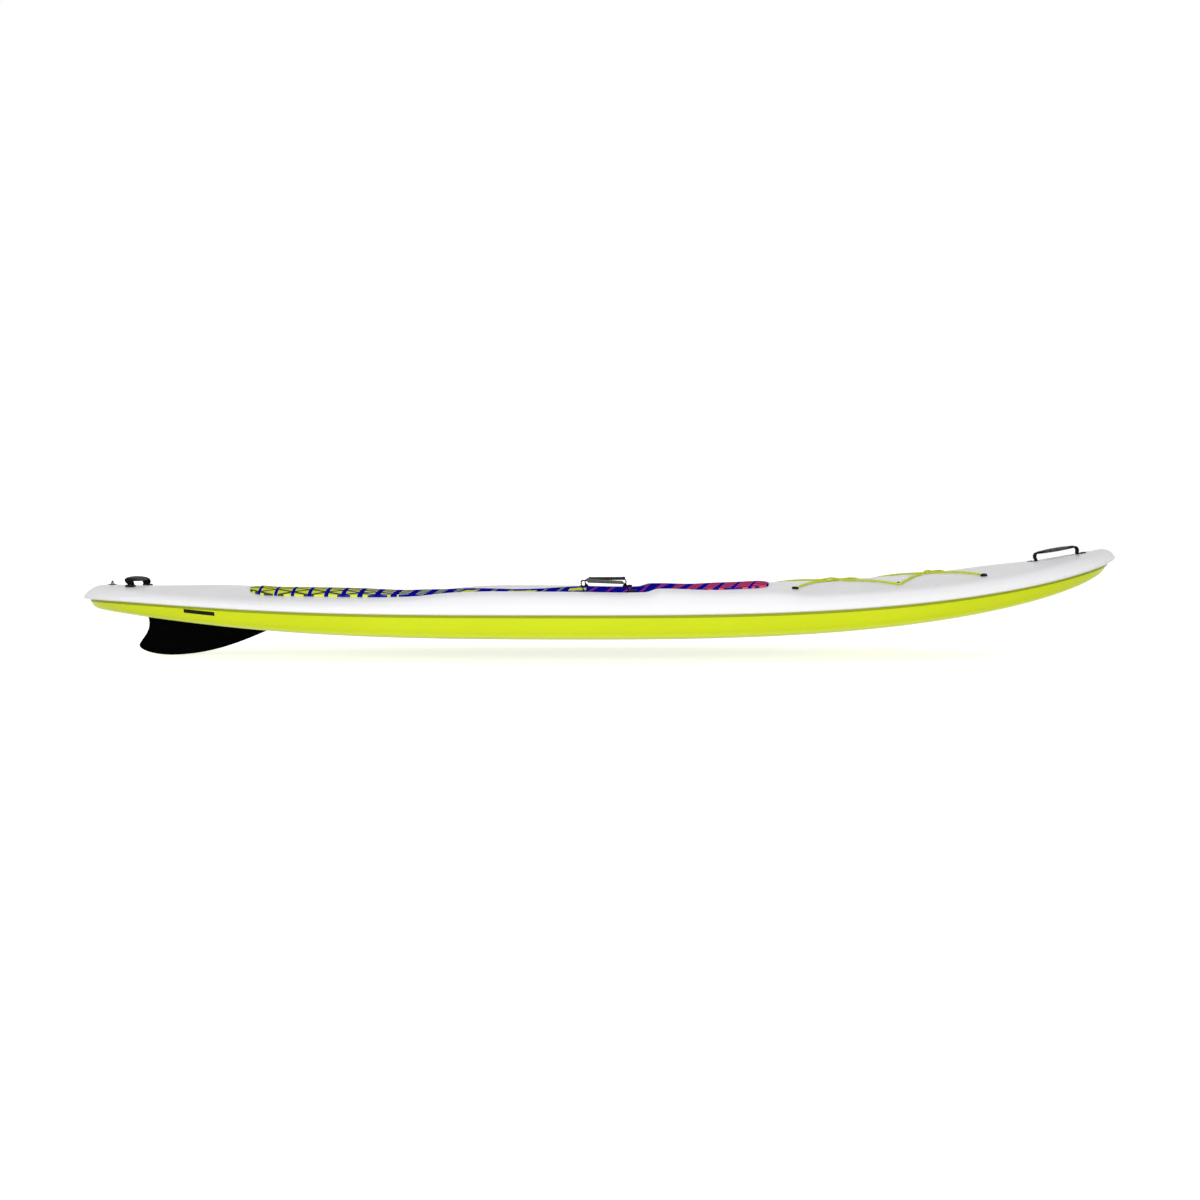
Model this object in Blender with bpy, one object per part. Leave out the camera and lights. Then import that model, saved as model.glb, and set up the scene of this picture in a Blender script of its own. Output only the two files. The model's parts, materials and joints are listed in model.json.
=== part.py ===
# Stand-up paddle board: two thermoformed shells over a foam core, an EVA deck pad, four webbing handles,
# a crossed deck bungee, a leash eye and one long fin held in a box by a screw and a plate nut.
# Units are metres. +X is the bow, +Y is port, +Z is up.
# Heights are measured from the lowest point of the lip, and one empty lifts the whole board until the
# lowest edge of the fin is at Z = 0.
import math

import bmesh
import bpy
from mathutils import Matrix, Vector
from mathutils.bvhtree import BVHTree
from mathutils.geometry import interpolate_bezier

# Plan view of the board
BOARD_LENGTH = 3.18
BOARD_WIDTH = 0.81
WIDE_POINT = 0.05
BOW_POWER = 2.4
BOW_FINENESS = 0.55
STERN_POWER = 2.3
STERN_FINENESS = 0.45

# Side view of the lip, where the two shells meet
LOW_POINT = -0.15
NOSE_ROCKER = 0.153
NOSE_ROCKER_POWER = 3.17
TAIL_ROCKER = 0.0345
TAIL_ROCKER_POWER = 1.8

# Hull shell below the lip
HULL_DEPTH = 0.0665
KEEL_DROP = 0.004
BOW_TAPER = 0.24
BOW_END_POWER = 6.6
STERN_TAPER = 0.62
STERN_TAPER_POWER = 2.5

# Deck shell above the lip
DECK_RISE = 0.070
DECK_CROWN = 0.030
SHOULDER_INSET = 0.078
NOSE_RAKE = 0.020
TAIL_RAKE = 0.025

# Lip and walls
SHELL_WALL = 0.003
LIP_OVERHANG = 0.010
NOSE_OVERHANG = 0.0190
TAIL_OVERHANG = 0.019
LIP_BULGE = 0.005
NOSE_BULGE = 0.0117
RIM_RISE = 0.012
FIT_GAP = 0.0003
END_GAP = 0.0006

# Foam core, three blocks end to end
FOAM_WIDTH = 0.060
FOAM_BOX_ROOM = 0.016
FOAM_FORE = 1.16
FOAM_GAP = 0.0006
FOAM_BLOCKS = ("stern", "mid", "bow")

# Deck pad
PAD_AFT = -1.047
PAD_FORE = 0.515
PAD_MARGIN = 0.120
PAD_AFT_CORNER = 0.095
PAD_FORE_CORNER = 0.055
PAD_FRONT_ARCH = 0.040
PAD_THICKNESS = 0.005

# Handles: webbing loop, grip, two anchors
HANDLE_SPAN = 0.127
HANDLE_HEIGHT = 0.035
HANDLE_BEND = 0.008
WEB_WIDTH = 0.025
WEB_THICKNESS = 0.0045
NECK_WIDTH = 0.0046
NECK_DROP = 0.0020
NECK_ROOM = 0.00045
FLARE_HEIGHT = 0.0135
GRIP_LENGTH = 0.112
GRIP_WIDTH = 0.030
GRIP_HEIGHT = 0.0118
GRIP_CLEARANCE = 0.0004
# Distances of the anchor's ends and screw from the middle of the handle
ANCHOR_INNER = 0.0573
ANCHOR_SCREW = 0.0780
ANCHOR_OUTER = 0.0885
ANCHOR_WIDTH = 0.026
ANCHOR_HEIGHT = 0.0055
# The webbing ends in a pin that turns in the two cheeks of the anchor
PIVOT_HEIGHT = 0.0031
PIVOT_RADIUS = 0.0013
PIVOT_REACH = 0.0053
PIVOT_CLEARANCE = 0.00008
CHEEK_GAP = 0.0003
CHEEK_SIDES = 16
BOW_HANDLE_SETBACK = 0.175
STERN_HANDLE_SETBACK = 0.160
SIDE_HANDLE_X = 0.019
SIDE_HANDLE_INSET = 0.137

# Leash eye
EYE_SETBACK = 0.077
EYE_BASE_LENGTH = 0.018
EYE_BASE_WIDTH = 0.034
EYE_BASE_HEIGHT = 0.003
EYE_HEIGHT = 0.0145
EYE_WIDTH = 0.0145
EYE_THICKNESS = 0.006
EYE_WALL = 0.0035
EYE_SCREW_SPACING = 0.0235

# Deck bungee
CORD_RADIUS = 0.003
CORD_LIFT = 0.0006
CORD_STEP = 0.022
CORD_CROSS_LENGTH = 0.055
BUNGEE_AFT = (0.567, 0.250)
BUNGEE_MID = (0.871, 0.232)
BUNGEE_FORE = (1.130, 0.200)
CAP_RADIUS = 0.0100
CAP_WALL_HEIGHT = 0.0050
CAP_HEIGHT = 0.0072
HOOK_RADIUS = 0.0042
HOOK_FLANGE_RADIUS = 0.0052
HOOK_NECK_HEIGHT = 0.0070
HOOK_HEIGHT = 0.0092

# Screws: head radius, head height, shank radius
DECK_SCREW = (0.0043, 0.0026, 0.0021)
SMALL_SCREW = (0.0032, 0.0014, 0.0016)
SCREW_GRIP = 0.004
HOLE_CLEARANCE = 0.0005
# A hole's cutter reaches this far to both sides of the surface
HOLE_REACH = 0.02

# Fin, fin box and fastening
FIN_SETBACK = 0.186
FIN_BASE = 0.419
FIN_DEPTH = 0.1293
FIN_THICKNESS = 0.0095
FIN_CLEARANCE = 0.0012
BOX_LENGTH = 0.312
BOX_WIDTH = 0.024
BOX_HEIGHT = 0.030
BOX_FLANGE = 0.007
BOX_FLANGE_THICKNESS = 0.003
BOX_END_WALL = 0.006
BOX_LEAD = 0.042
SLOT_WIDTH = 0.0088
TRACK_WIDTH = 0.0150
TRACK_HEIGHT = 0.0060
TRACK_LIFT = 0.0110
BOX_ROOF = 0.0030
TAB_THICKNESS = 0.0078
TAB_ROOF_GAP = 0.0008
TAB_SINK = 0.0032
TONGUE_LENGTH = 0.0215
TONGUE_ROOM = 0.0022
TONGUE_OVERLAP = 0.010
TONGUE_LIFT = 0.0035
TONGUE_HEIGHT = 0.0060
FIN_TRAVEL = 0.015
PIN_RADIUS = 0.0020
PIN_LENGTH = 0.0136
NUT_SIZE = 0.0120
NUT_THICKNESS = 0.0035
NUT_SETBACK = 0.00217
PIN_SETBACK = 0.020

# Height of the shoulder above the lip, as a share of DECK_RISE, at shares of the half length from stern to
# bow. The dip in the middle is where the side handles are.
SHOULDER_LINE = (
    (-1.00, 0.74), (-0.97, 0.68), (-0.90, 0.56), (-0.75, 0.50), (-0.60, 0.51), (-0.33, 0.76),
    (-0.27, 0.89), (-0.21, 0.96), (-0.14, 0.95), (-0.10, 0.905), (0.08, 0.89), (0.10, 1.01),
    (0.29, 0.95), (0.32, 0.92), (0.37, 0.77), (0.46, 0.72), (0.55, 0.70), (0.62, 0.68),
    (0.81, 0.67), (0.86, 0.70), (0.93, 0.72), (0.96, 0.71), (0.98, 0.76), (1.00, 0.80),
)
# Height of the centreline above the shoulder, as a share of DECK_CROWN: below zero in the standing area.
CROWN_LINE = (
    (-1.00, 0.00), (-0.90, 0.16), (-0.82, 0.42), (-0.72, 0.80), (-0.64, 0.68), (-0.60, 0.70), (-0.49, 0.50),
    (-0.40, 0.15), (-0.33, -0.11), (-0.19, -0.63), (-0.13, -0.57), (-0.09, -0.42), (-0.04, -0.24),
    (0.00, -0.23), (0.12, -0.23), (0.20, -0.10), (0.31, 0.27), (0.34, 0.45), (0.38, 0.88), (0.46, 0.82),
    (0.55, 0.77), (0.67, 0.72), (0.73, 0.71), (0.78, 0.60), (0.83, 0.30), (0.86, 0.06), (0.91, 0.00),
    (0.94, 0.02), (1.00, 0.06),
)
# Rounded side of the deck from the lip to the shoulder: share of the inset, share of the rise
DECK_SIDE = ((0.02, 0.25), (0.09, 0.50), (0.26, 0.78), (0.54, 0.93), (1.00, 1.00))
CROWN_STEPS = (0.13, 0.32, 0.62, 1.00)
RECESS_EDGE = 0.16
# Side of the hull from the lip to the chine: extra inset, share of the depth
HULL_SIDE = ((0.003, 0.35), (0.010, 0.70), (0.022, 0.90), (0.045, 1.00))
KEEL_STEPS = (0.45, 1.00)

# Fin outline in shares of its base and depth, measured forward and down from the rear of the root
FIN_ROOT_REAR = (0.0, 0.0)
FIN_TRAILING_HANDLES = ((0.06, 0.35), (-0.05, 0.66))
FIN_TIP = (-0.061, 0.831)
FIN_TIP_HANDLES = ((-0.068, 0.957), (0.04, 1.04))
FIN_LOWEST = (0.177, 1.0)
FIN_LEADING_HANDLES = ((0.845, 0.279), (0.558, 0.873))
FIN_ROOT_FRONT = (1.0, 0.0)

HALF_LENGTH = BOARD_LENGTH / 2
END_CAP = 0.35
END_STEPS = 7
STATION_STEP = 0.083
SKELETON_START = 1.25
SKELETON_SHARE = 0.4
ROUND_SIDES = 12
SCREW_SIDES = 8


def clear_scene():
    for old in list(bpy.data.objects):
        bpy.data.objects.remove(old, do_unlink=True)


def material(name, colour, roughness, metallic=0.0):
    made = bpy.data.materials.new(name)
    made.use_nodes = True
    shader = made.node_tree.nodes["Principled BSDF"]
    shader.inputs["Base Color"].default_value = (*colour, 1.0)
    shader.inputs["Roughness"].default_value = roughness
    shader.inputs["Metallic"].default_value = metallic
    return made


def empty(name, parent=None, matrix=None):
    made = bpy.data.objects.new(name, None)
    bpy.context.scene.collection.objects.link(made)
    made.parent = parent
    if matrix is not None:
        made.matrix_local = matrix
    return made


def finish_object(name, bm, surface, parent, matrix=None):
    mesh = bpy.data.meshes.new(name)
    bm.to_mesh(mesh)
    bm.free()
    mesh.shade_smooth()
    mesh.set_sharp_from_angle(angle=math.radians(35))
    made = bpy.data.objects.new(name, mesh)
    bpy.context.scene.collection.objects.link(made)
    made.parent = parent
    if matrix is not None:
        made.matrix_local = matrix
    if surface:
        mesh.materials.append(surface)
    return made


def cutter(name, bm, parent, matrix=None):
    made = finish_object(name, bm, None, parent, matrix)
    made.hide_render = True
    made.display_type = "WIRE"
    return made


def boolean(target, other, operation):
    modifier = target.modifiers.new(operation.lower(), "BOOLEAN")
    modifier.operation = operation
    modifier.object = other
    modifier.solver = "EXACT"
    return modifier


def smoothstep(value):
    value = min(max(value, 0.0), 1.0)
    return value * value * (3.0 - 2.0 * value)


# A smooth curve through the pairs of a design line, read at one share of the half length
def read_line(line, share):
    share = min(max(share, line[0][0]), line[-1][0])
    last = len(line) - 1
    k = next(i for i in range(last) if share <= line[i + 1][0])
    slopes = []
    for i in (k, k + 1):
        a = line[max(i - 1, 0)]
        b = line[min(i + 1, last)]
        slopes.append((b[1] - a[1]) / (b[0] - a[0]))
    (x0, y0), (x1, y1) = line[k], line[k + 1]
    width = x1 - x0
    t = (share - x0) / width
    start = (1 + 2 * t) * (1 - t) ** 2 * y0 + t * (1 - t) ** 2 * width * slopes[0]
    return start + t * t * (3 - 2 * t) * y1 + t * t * (t - 1) * width * slopes[1]


def half_width(x):
    if x >= WIDE_POINT:
        t = (x - WIDE_POINT) / (HALF_LENGTH - WIDE_POINT)
        return BOARD_WIDTH / 2 * max(1 - t**BOW_POWER, 0.0) ** BOW_FINENESS
    t = (WIDE_POINT - x) / (HALF_LENGTH + WIDE_POINT)
    return BOARD_WIDTH / 2 * max(1 - t**STERN_POWER, 0.0) ** STERN_FINENESS


def lip_height(x):
    if x >= LOW_POINT:
        t = (x - LOW_POINT) / (HALF_LENGTH - LOW_POINT)
        return NOSE_ROCKER * t**NOSE_ROCKER_POWER
    t = (LOW_POINT - x) / (HALF_LENGTH + LOW_POINT)
    return TAIL_ROCKER * math.sin(math.pi / 2 * min(t, 1.0) ** TAIL_ROCKER_POWER) ** 2


def end_share(x):
    return smoothstep((abs(x) - 0.8 * HALF_LENGTH) / (0.2 * HALF_LENGTH))


def blend_to_end(x, side, nose, tail):
    return side + (nose - side if x > 0 else tail - side) * end_share(x)


def overhang(x):
    return blend_to_end(x, LIP_OVERHANG, NOSE_OVERHANG, TAIL_OVERHANG)


def bulge(x):
    return blend_to_end(x, LIP_BULGE, NOSE_BULGE, LIP_BULGE)


# The lip's wall leans, so its inner edge lies this far in from the outline
def hull_inset(x):
    lean = bulge(x) / math.hypot(bulge(x), overhang(x))
    return overhang(x) + SHELL_WALL * lean + FIT_GAP + END_GAP * end_share(x)


def hull_depth(x):
    if x >= 0:
        t = min(x / (HALF_LENGTH - NOSE_OVERHANG), 1.0)
        return HULL_DEPTH * (1 - BOW_TAPER * t) * math.sqrt(1 - t**BOW_END_POWER)
    t = min(-x / (HALF_LENGTH - TAIL_OVERHANG), 1.0)
    return HULL_DEPTH * (1 - STERN_TAPER * t**STERN_TAPER_POWER)


def shoulder_rise(x):
    return DECK_RISE * read_line(SHOULDER_LINE, x / HALF_LENGTH)


def crown_height(x, share):
    height = DECK_CROWN * read_line(CROWN_LINE, x / HALF_LENGTH)
    if height > 0:
        return height * (1 - (1 - share**1.3) ** 2)
    return height * smoothstep(share / RECESS_EDGE)


# Stations of one side from the bow tip to the stern tip, closer together where the outline is round
def side_stations():
    ends = [HALF_LENGTH - END_CAP * (k / END_STEPS) ** 2 for k in range(END_STEPS + 1)]
    count = round((BOARD_LENGTH - 2 * END_CAP) / STATION_STEP)
    middle = [ends[-1] - (BOARD_LENGTH - 2 * END_CAP) * k / count for k in range(1, count)]
    return ends + middle + [-x for x in reversed(ends)]


def outline_loop():
    port = [Vector((x, half_width(x))) for x in side_stations()]
    return port + [Vector((p.x, -p.y)) for p in reversed(port[1:-1])]


def inward_normals(loop):
    normals = []
    for i, point in enumerate(loop):
        along = loop[(i + 1) % len(loop)] - loop[i - 1]
        normals.append(Vector((-along.y, along.x)).normalized())
    return normals


# The port side runs aft, so the inward normal is on its left
def inset_loop(loop, normals, distances):
    return [p + n * d for p, n, d in zip(loop, normals, distances)]


# How far the rounded side of the deck lies in from the outline
def side_inset(x, inset_share, rise_share):
    rake = blend_to_end(x, 0.0, NOSE_RAKE, TAIL_RAKE)
    return SHOULDER_INSET * inset_share * (1 - 0.3 * end_share(x)) + rake * rise_share


def skeleton_point(point):
    reach = abs(point.x)
    if reach > SKELETON_START:
        reach = SKELETON_START + (reach - SKELETON_START) * SKELETON_SHARE
    return Vector((math.copysign(reach, point.x), 0.0))


def inner_loop(loop, share):
    return [p.lerp(skeleton_point(p), share) for p in loop]


# A surface through rings that all have as many points, ordered from the first ring inwards
def skin_rings(rings, face_up):
    bm = bmesh.new()
    verts = [[bm.verts.new(co) for co in ring] for ring in rings]
    count = len(rings[0])
    for outer, inner in zip(verts, verts[1:]):
        for i in range(count):
            j = (i + 1) % count
            corners = (outer[i], outer[j], inner[j], inner[i])
            bm.faces.new(corners if face_up else tuple(reversed(corners)))
    bmesh.ops.remove_doubles(bm, verts=bm.verts, dist=1e-5)
    bmesh.ops.triangulate(bm, faces=bm.faces)
    return bm


def deck_surface():
    loop = outline_loop()
    normals = inward_normals(loop)
    rings = []
    edge = inset_loop(loop, normals, [overhang(p.x) for p in loop])
    rings.append([(p.x, p.y, lip_height(p.x)) for p in edge])
    rings.append([(p.x, p.y, lip_height(p.x) + bulge(p.x)) for p in loop])
    for inset_share, rise_share in DECK_SIDE:
        ring = inset_loop(loop, normals, [side_inset(p.x, inset_share, rise_share) for p in loop])
        heights = [bulge(p.x) + rise_share * (shoulder_rise(p.x) - bulge(p.x)) for p in ring]
        rings.append([(p.x, p.y, lip_height(p.x) + h) for p, h in zip(ring, heights)])
    for share in CROWN_STEPS:
        inner = inner_loop(ring, share)
        rings.append([
            (p.x, p.y, lip_height(p.x) + shoulder_rise(p.x) + crown_height(p.x, share)) for p in inner
        ])
    return skin_rings(rings, face_up=True)


def hull_surface():
    loop = outline_loop()
    normals = inward_normals(loop)
    insets = [hull_inset(p.x) for p in loop]
    edge = inset_loop(loop, normals, insets)
    rings = [
        [(p.x, p.y, lip_height(p.x) + RIM_RISE) for p in edge],
        [(p.x, p.y, lip_height(p.x)) for p in edge],
    ]
    for extra, depth_share in HULL_SIDE:
        ring = inset_loop(loop, normals, [inset + extra for inset in insets])
        rings.append([(p.x, p.y, lip_height(p.x) - hull_depth(p.x) * depth_share) for p in ring])
    for share in KEEL_STEPS:
        inner = inner_loop(ring, share)
        rings.append([
            (p.x, p.y, lip_height(p.x) - hull_depth(p.x) - keel_drop(p.x) * share) for p in inner
        ])
    return skin_rings(rings, face_up=False)


def keel_drop(x):
    return KEEL_DROP * (1 - (x / HALF_LENGTH) ** 2)


def make_shell(name, bm, surface, parent):
    shell = finish_object(name, bm, surface, parent)
    wall = shell.modifiers.new("wall", "SOLIDIFY")
    wall.thickness = SHELL_WALL
    wall.offset = -1
    wall.use_even_offset = True
    return shell


# Where a surface lies above or below a point of the plan, and its normal
def surface_at(tree, x, y, from_below=False):
    start = Vector((x, y, -1.0 if from_below else 1.0))
    way = Vector((0, 0, 1.0 if from_below else -1.0))
    point, normal, _, _ = tree.ray_cast(start, way)
    if normal.dot(way) > 0:
        normal = -normal
    return point, normal


# The part of one vector that is square to another
def square_to(vector, other):
    return vector - vector.project(other)


def frame(origin, along, up):
    z = up.normalized()
    x = square_to(along, z).normalized()
    y = z.cross(x)
    made = Matrix((x, y, z)).transposed().to_4x4()
    made.translation = origin
    return made


# A frame for a flat base of this size, raised until the deck under it is clear of it by the fitting gap
def seat(tree, x, y, heading, length, width, lift=0.0):
    ahead = Vector((math.cos(heading), math.sin(heading), 0.0))
    aside = Vector((-ahead.y, ahead.x, 0.0))
    centre = Vector((x, y, 0.0))
    ends = [surface_at(tree, *(centre + ahead * s * length / 2).xy)[0] for s in (-1, 1)]
    sides = [surface_at(tree, *(centre + aside * s * width / 2).xy)[0] for s in (-1, 1)]
    up = (ends[1] - ends[0]).cross(sides[1] - sides[0]).normalized()
    origin = surface_at(tree, x, y)[0]
    highest = 0.0
    for i in range(-2, 3):
        for j in range(-2, 3):
            spot = centre + ahead * length * i / 4 + aside * width * j / 4
            under = surface_at(tree, spot.x, spot.y)[0]
            highest = max(highest, (under - origin).dot(up))
    return frame(origin + up * (highest + FIT_GAP + lift), ahead, up)


def lathe(profile, sides):
    bm = bmesh.new()
    verts = [bm.verts.new((r, 0.0, z)) for r, z in profile]
    edges = [bm.edges.new(pair) for pair in zip(verts, verts[1:])]
    bmesh.ops.spin(
        bm, geom=verts + edges, cent=(0, 0, 0), axis=(0, 0, 1), angle=2 * math.pi, steps=sides, use_merge=True
    )
    bmesh.ops.remove_doubles(bm, verts=bm.verts, dist=1e-6)
    bmesh.ops.recalc_face_normals(bm, faces=bm.faces)
    return bm


def block(length, width, low, high):
    bm = bmesh.new()
    bmesh.ops.create_cube(bm, size=1.0)
    bmesh.ops.scale(bm, vec=(length, width, high - low), verts=bm.verts)
    bmesh.ops.translate(bm, vec=(0, 0, (low + high) / 2), verts=bm.verts)
    return bm


def bevel_upright_edges(bm, radius, segments=2):
    upright = [e for e in bm.edges if abs((e.verts[0].co - e.verts[1].co).normalized().z) > 0.9]
    bmesh.ops.bevel(
        bm, geom=upright, offset=radius, segments=segments, profile=0.5, affect="EDGES", material=-1
    )


def add_rod(bm, radius, low, high, matrix, sides=ROUND_SIDES):
    made = bmesh.ops.create_cone(
        bm, cap_ends=True, segments=sides, radius1=radius, radius2=radius, depth=high - low
    )
    shift = matrix @ Matrix.Translation((0, 0, (low + high) / 2))
    bmesh.ops.transform(bm, matrix=shift, verts=made["verts"])


def extrude_outline(points, depth, axis):
    bm = bmesh.new()
    face = bm.faces.new([bm.verts.new(p) for p in points])
    made = bmesh.ops.extrude_face_region(bm, geom=[face])
    moved = [v for v in made["geom"] if isinstance(v, bmesh.types.BMVert)]
    bmesh.ops.translate(bm, vec=Vector(axis) * depth, verts=moved)
    bmesh.ops.recalc_face_normals(bm, faces=bm.faces)
    return bm


# Screw holes through one piece, gathered and cut by one Boolean
class Holes:
    def __init__(self):
        self.bm = bmesh.new()

    def add(self, matrix, radius):
        add_rod(self.bm, radius, -HOLE_REACH, HOLE_REACH, matrix)

    def cut(self, target, parent):
        boolean(target, cutter(target.name + "_holes", self.bm, parent), "DIFFERENCE")


def make_screw(name, size, grip, surface, parent, matrix):
    head_radius, head_height, shank_radius = size
    profile = (
        (0.0, head_height), (head_radius * 0.7, head_height), (head_radius, 0.0),
        (shank_radius, 0.0), (shank_radius, -grip), (0.0, -grip),
    )
    return finish_object(name, lathe(profile, SCREW_SIDES), surface, parent, matrix)


def make_pad(deck, surface, parent):
    bm = deck.copy()
    bm.normal_update()
    outside = [
        f for f in bm.faces
        if not PAD_AFT - 0.1 < f.calc_center_median().x < PAD_FORE + 0.1
        or abs(f.calc_center_median().y) > BOARD_WIDTH / 2 - SHOULDER_INSET
    ]
    bmesh.ops.delete(bm, geom=outside, context="FACES")
    for vert in bm.verts:
        vert.co += vert.normal * FIT_GAP
    pad = finish_object("deck_pad", bm, surface, parent)
    sheet = pad.modifiers.new("sheet", "SOLIDIFY")
    sheet.thickness = PAD_THICKNESS
    sheet.offset = 1
    sheet.use_even_offset = True
    outline = pad_outline()
    prism = extrude_outline([(x, y, -0.2) for x, y in outline], 0.6, (0, 0, 1))
    boolean(pad, cutter("pad_outline", prism, parent), "INTERSECT")
    return pad


# The pad keeps an even margin to the board's side, with rounded corners and an arched front edge
def pad_outline():
    def side(x):
        return half_width(x) - PAD_MARGIN

    aft_x = PAD_AFT + PAD_AFT_CORNER
    fore_x = PAD_FORE - PAD_FRONT_ARCH - PAD_FORE_CORNER
    port = []
    for k in range(6):
        turn = math.pi / 2 * k / 6
        inset = PAD_AFT_CORNER * (1 - math.sin(turn))
        port.append((aft_x - PAD_AFT_CORNER * math.cos(turn), side(aft_x) - inset))
    port += [(aft_x + (fore_x - aft_x) * k / 16, side(aft_x + (fore_x - aft_x) * k / 16)) for k in range(17)]
    corner_y = side(fore_x) - PAD_FORE_CORNER
    for k in range(1, 4):
        turn = math.pi / 2 * k / 4
        port.append((fore_x + PAD_FORE_CORNER * math.sin(turn), corner_y + PAD_FORE_CORNER * math.cos(turn)))
    for k in range(4):
        y = corner_y * (1 - k / 4)
        port.append((PAD_FORE - PAD_FRONT_ARCH * (y / corner_y) ** 2, y))
    return port + [(PAD_FORE, 0.0)] + [(x, -y) for x, y in reversed(port)]


def make_foam(deck_tree, hull_tree, surface, parent):
    stations = sorted({round(skeleton_point(Vector((x, 0))).x, 9) for x in side_stations()})
    aft = box_front() + BOX_FLANGE + FOAM_BOX_ROOM
    inside = [x for x in stations if aft <= x <= FOAM_FORE]
    share = (len(inside) - 1) / len(FOAM_BLOCKS)
    for k, label in enumerate(FOAM_BLOCKS):
        part = inside[round(k * share): round((k + 1) * share) + 1]
        bm = bmesh.new()
        sections = []
        for i, x in enumerate(part):
            if i == 0:
                x += FOAM_GAP / 2
            if i == len(part) - 1:
                x -= FOAM_GAP / 2
            corners = []
            for y in (-FOAM_WIDTH / 2, 0.0, FOAM_WIDTH / 2):
                roof, slope = surface_at(deck_tree, x, y)
                corners.append((x, y, roof.z - (SHELL_WALL + FOAM_GAP) / slope.z))
            for y in (FOAM_WIDTH / 2, 0.0, -FOAM_WIDTH / 2):
                floor, slope = surface_at(hull_tree, x, y, from_below=True)
                corners.append((x, y, floor.z + (SHELL_WALL + FOAM_GAP) / -slope.z))
            sections.append([bm.verts.new(co) for co in corners])
        for a, b in zip(sections, sections[1:]):
            for i in range(len(a)):
                j = (i + 1) % len(a)
                bm.faces.new((a[i], a[j], b[j], b[i]))
        bm.faces.new(sections[0])
        bm.faces.new(list(reversed(sections[-1])))
        bmesh.ops.recalc_face_normals(bm, faces=bm.faces)
        finish_object("foam_core_" + label, bm, surface, parent)


# The webbing loop of a handle, in the handle's own frame: X along it, Z up, the pivot line at Z = 0
def strap_mesh():
    top = HANDLE_HEIGHT - GRIP_HEIGHT / 2 - PIVOT_HEIGHT
    leg = HANDLE_SPAN / 2
    widths = ((-NECK_DROP, NECK_WIDTH * 0.4), (0.0, NECK_WIDTH), (NECK_DROP / 2, NECK_WIDTH))
    half = [(leg, z, w, Vector((1, 0, 0))) for z, w in widths]
    half.append((leg, FLARE_HEIGHT, WEB_WIDTH, Vector((1, 0, 0))))
    for k in range(1, 5):
        turn = math.pi / 2 * k / 4
        out = Vector((math.cos(turn), 0, math.sin(turn)))
        x = leg - HANDLE_BEND + HANDLE_BEND * out.x
        z = top - HANDLE_BEND + HANDLE_BEND * out.z
        half.append((x, z, WEB_WIDTH, out))
    mirrored = [(-x, z, w, Vector((-out.x, 0, out.z))) for x, z, w, out in reversed(half)]
    bm = bmesh.new()
    sections = []
    for x, z, w, out in half + mirrored:
        middle = Vector((x, 0, z))
        side = Vector((0, w / 2, 0))
        skin = out * WEB_THICKNESS / 2
        corners = (middle - side - skin, middle - side + skin, middle + side + skin, middle + side - skin)
        sections.append([bm.verts.new(co) for co in corners])
    for a, b in zip(sections, sections[1:]):
        for i in range(4):
            j = (i + 1) % 4
            bm.faces.new((a[i], a[j], b[j], b[i]))
    bm.faces.new(sections[0])
    bm.faces.new(sections[-1])
    bmesh.ops.recalc_face_normals(bm, faces=bm.faces)
    return bm


# Rods along the pivot line of a handle, one through each end of the webbing
def pivot_rods(radius, reach, sides):
    bm = bmesh.new()
    for sign in (-1, 1):
        across = Matrix.Translation((sign * HANDLE_SPAN / 2, 0, 0)) @ Matrix.Rotation(math.pi / 2, 4, "Y")
        add_rod(bm, radius, -reach, reach, across, sides)
    return bm


def make_strap(name, surface, swing):
    strap = finish_object(name, strap_mesh(), surface, swing)
    rods = cutter(name + "_pins", pivot_rods(PIVOT_RADIUS, PIVOT_REACH, ROUND_SIDES), swing)
    boolean(strap, rods, "UNION")
    return strap


def make_grip(name, surface, parent):
    height = HANDLE_HEIGHT - GRIP_HEIGHT / 2 - PIVOT_HEIGHT
    sides = 16
    points = []
    for k in range(sides):
        turn = 2 * math.pi * k / sides
        y = math.copysign(abs(math.cos(turn)) ** 0.75, math.cos(turn)) * GRIP_WIDTH / 2
        z = math.copysign(abs(math.sin(turn)) ** 0.75, math.sin(turn)) * GRIP_HEIGHT / 2
        points.append((-GRIP_LENGTH / 2, y, height + z))
    grip = finish_object(name, extrude_outline(points, GRIP_LENGTH, (1, 0, 0)), surface, parent)
    slot = block(
        GRIP_LENGTH * 1.2, WEB_WIDTH + 2 * GRIP_CLEARANCE,
        height - WEB_THICKNESS / 2 - GRIP_CLEARANCE, height + WEB_THICKNESS / 2 + GRIP_CLEARANCE,
    )
    boolean(grip, cutter(name + "_slot", slot, parent), "DIFFERENCE")
    return grip


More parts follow.
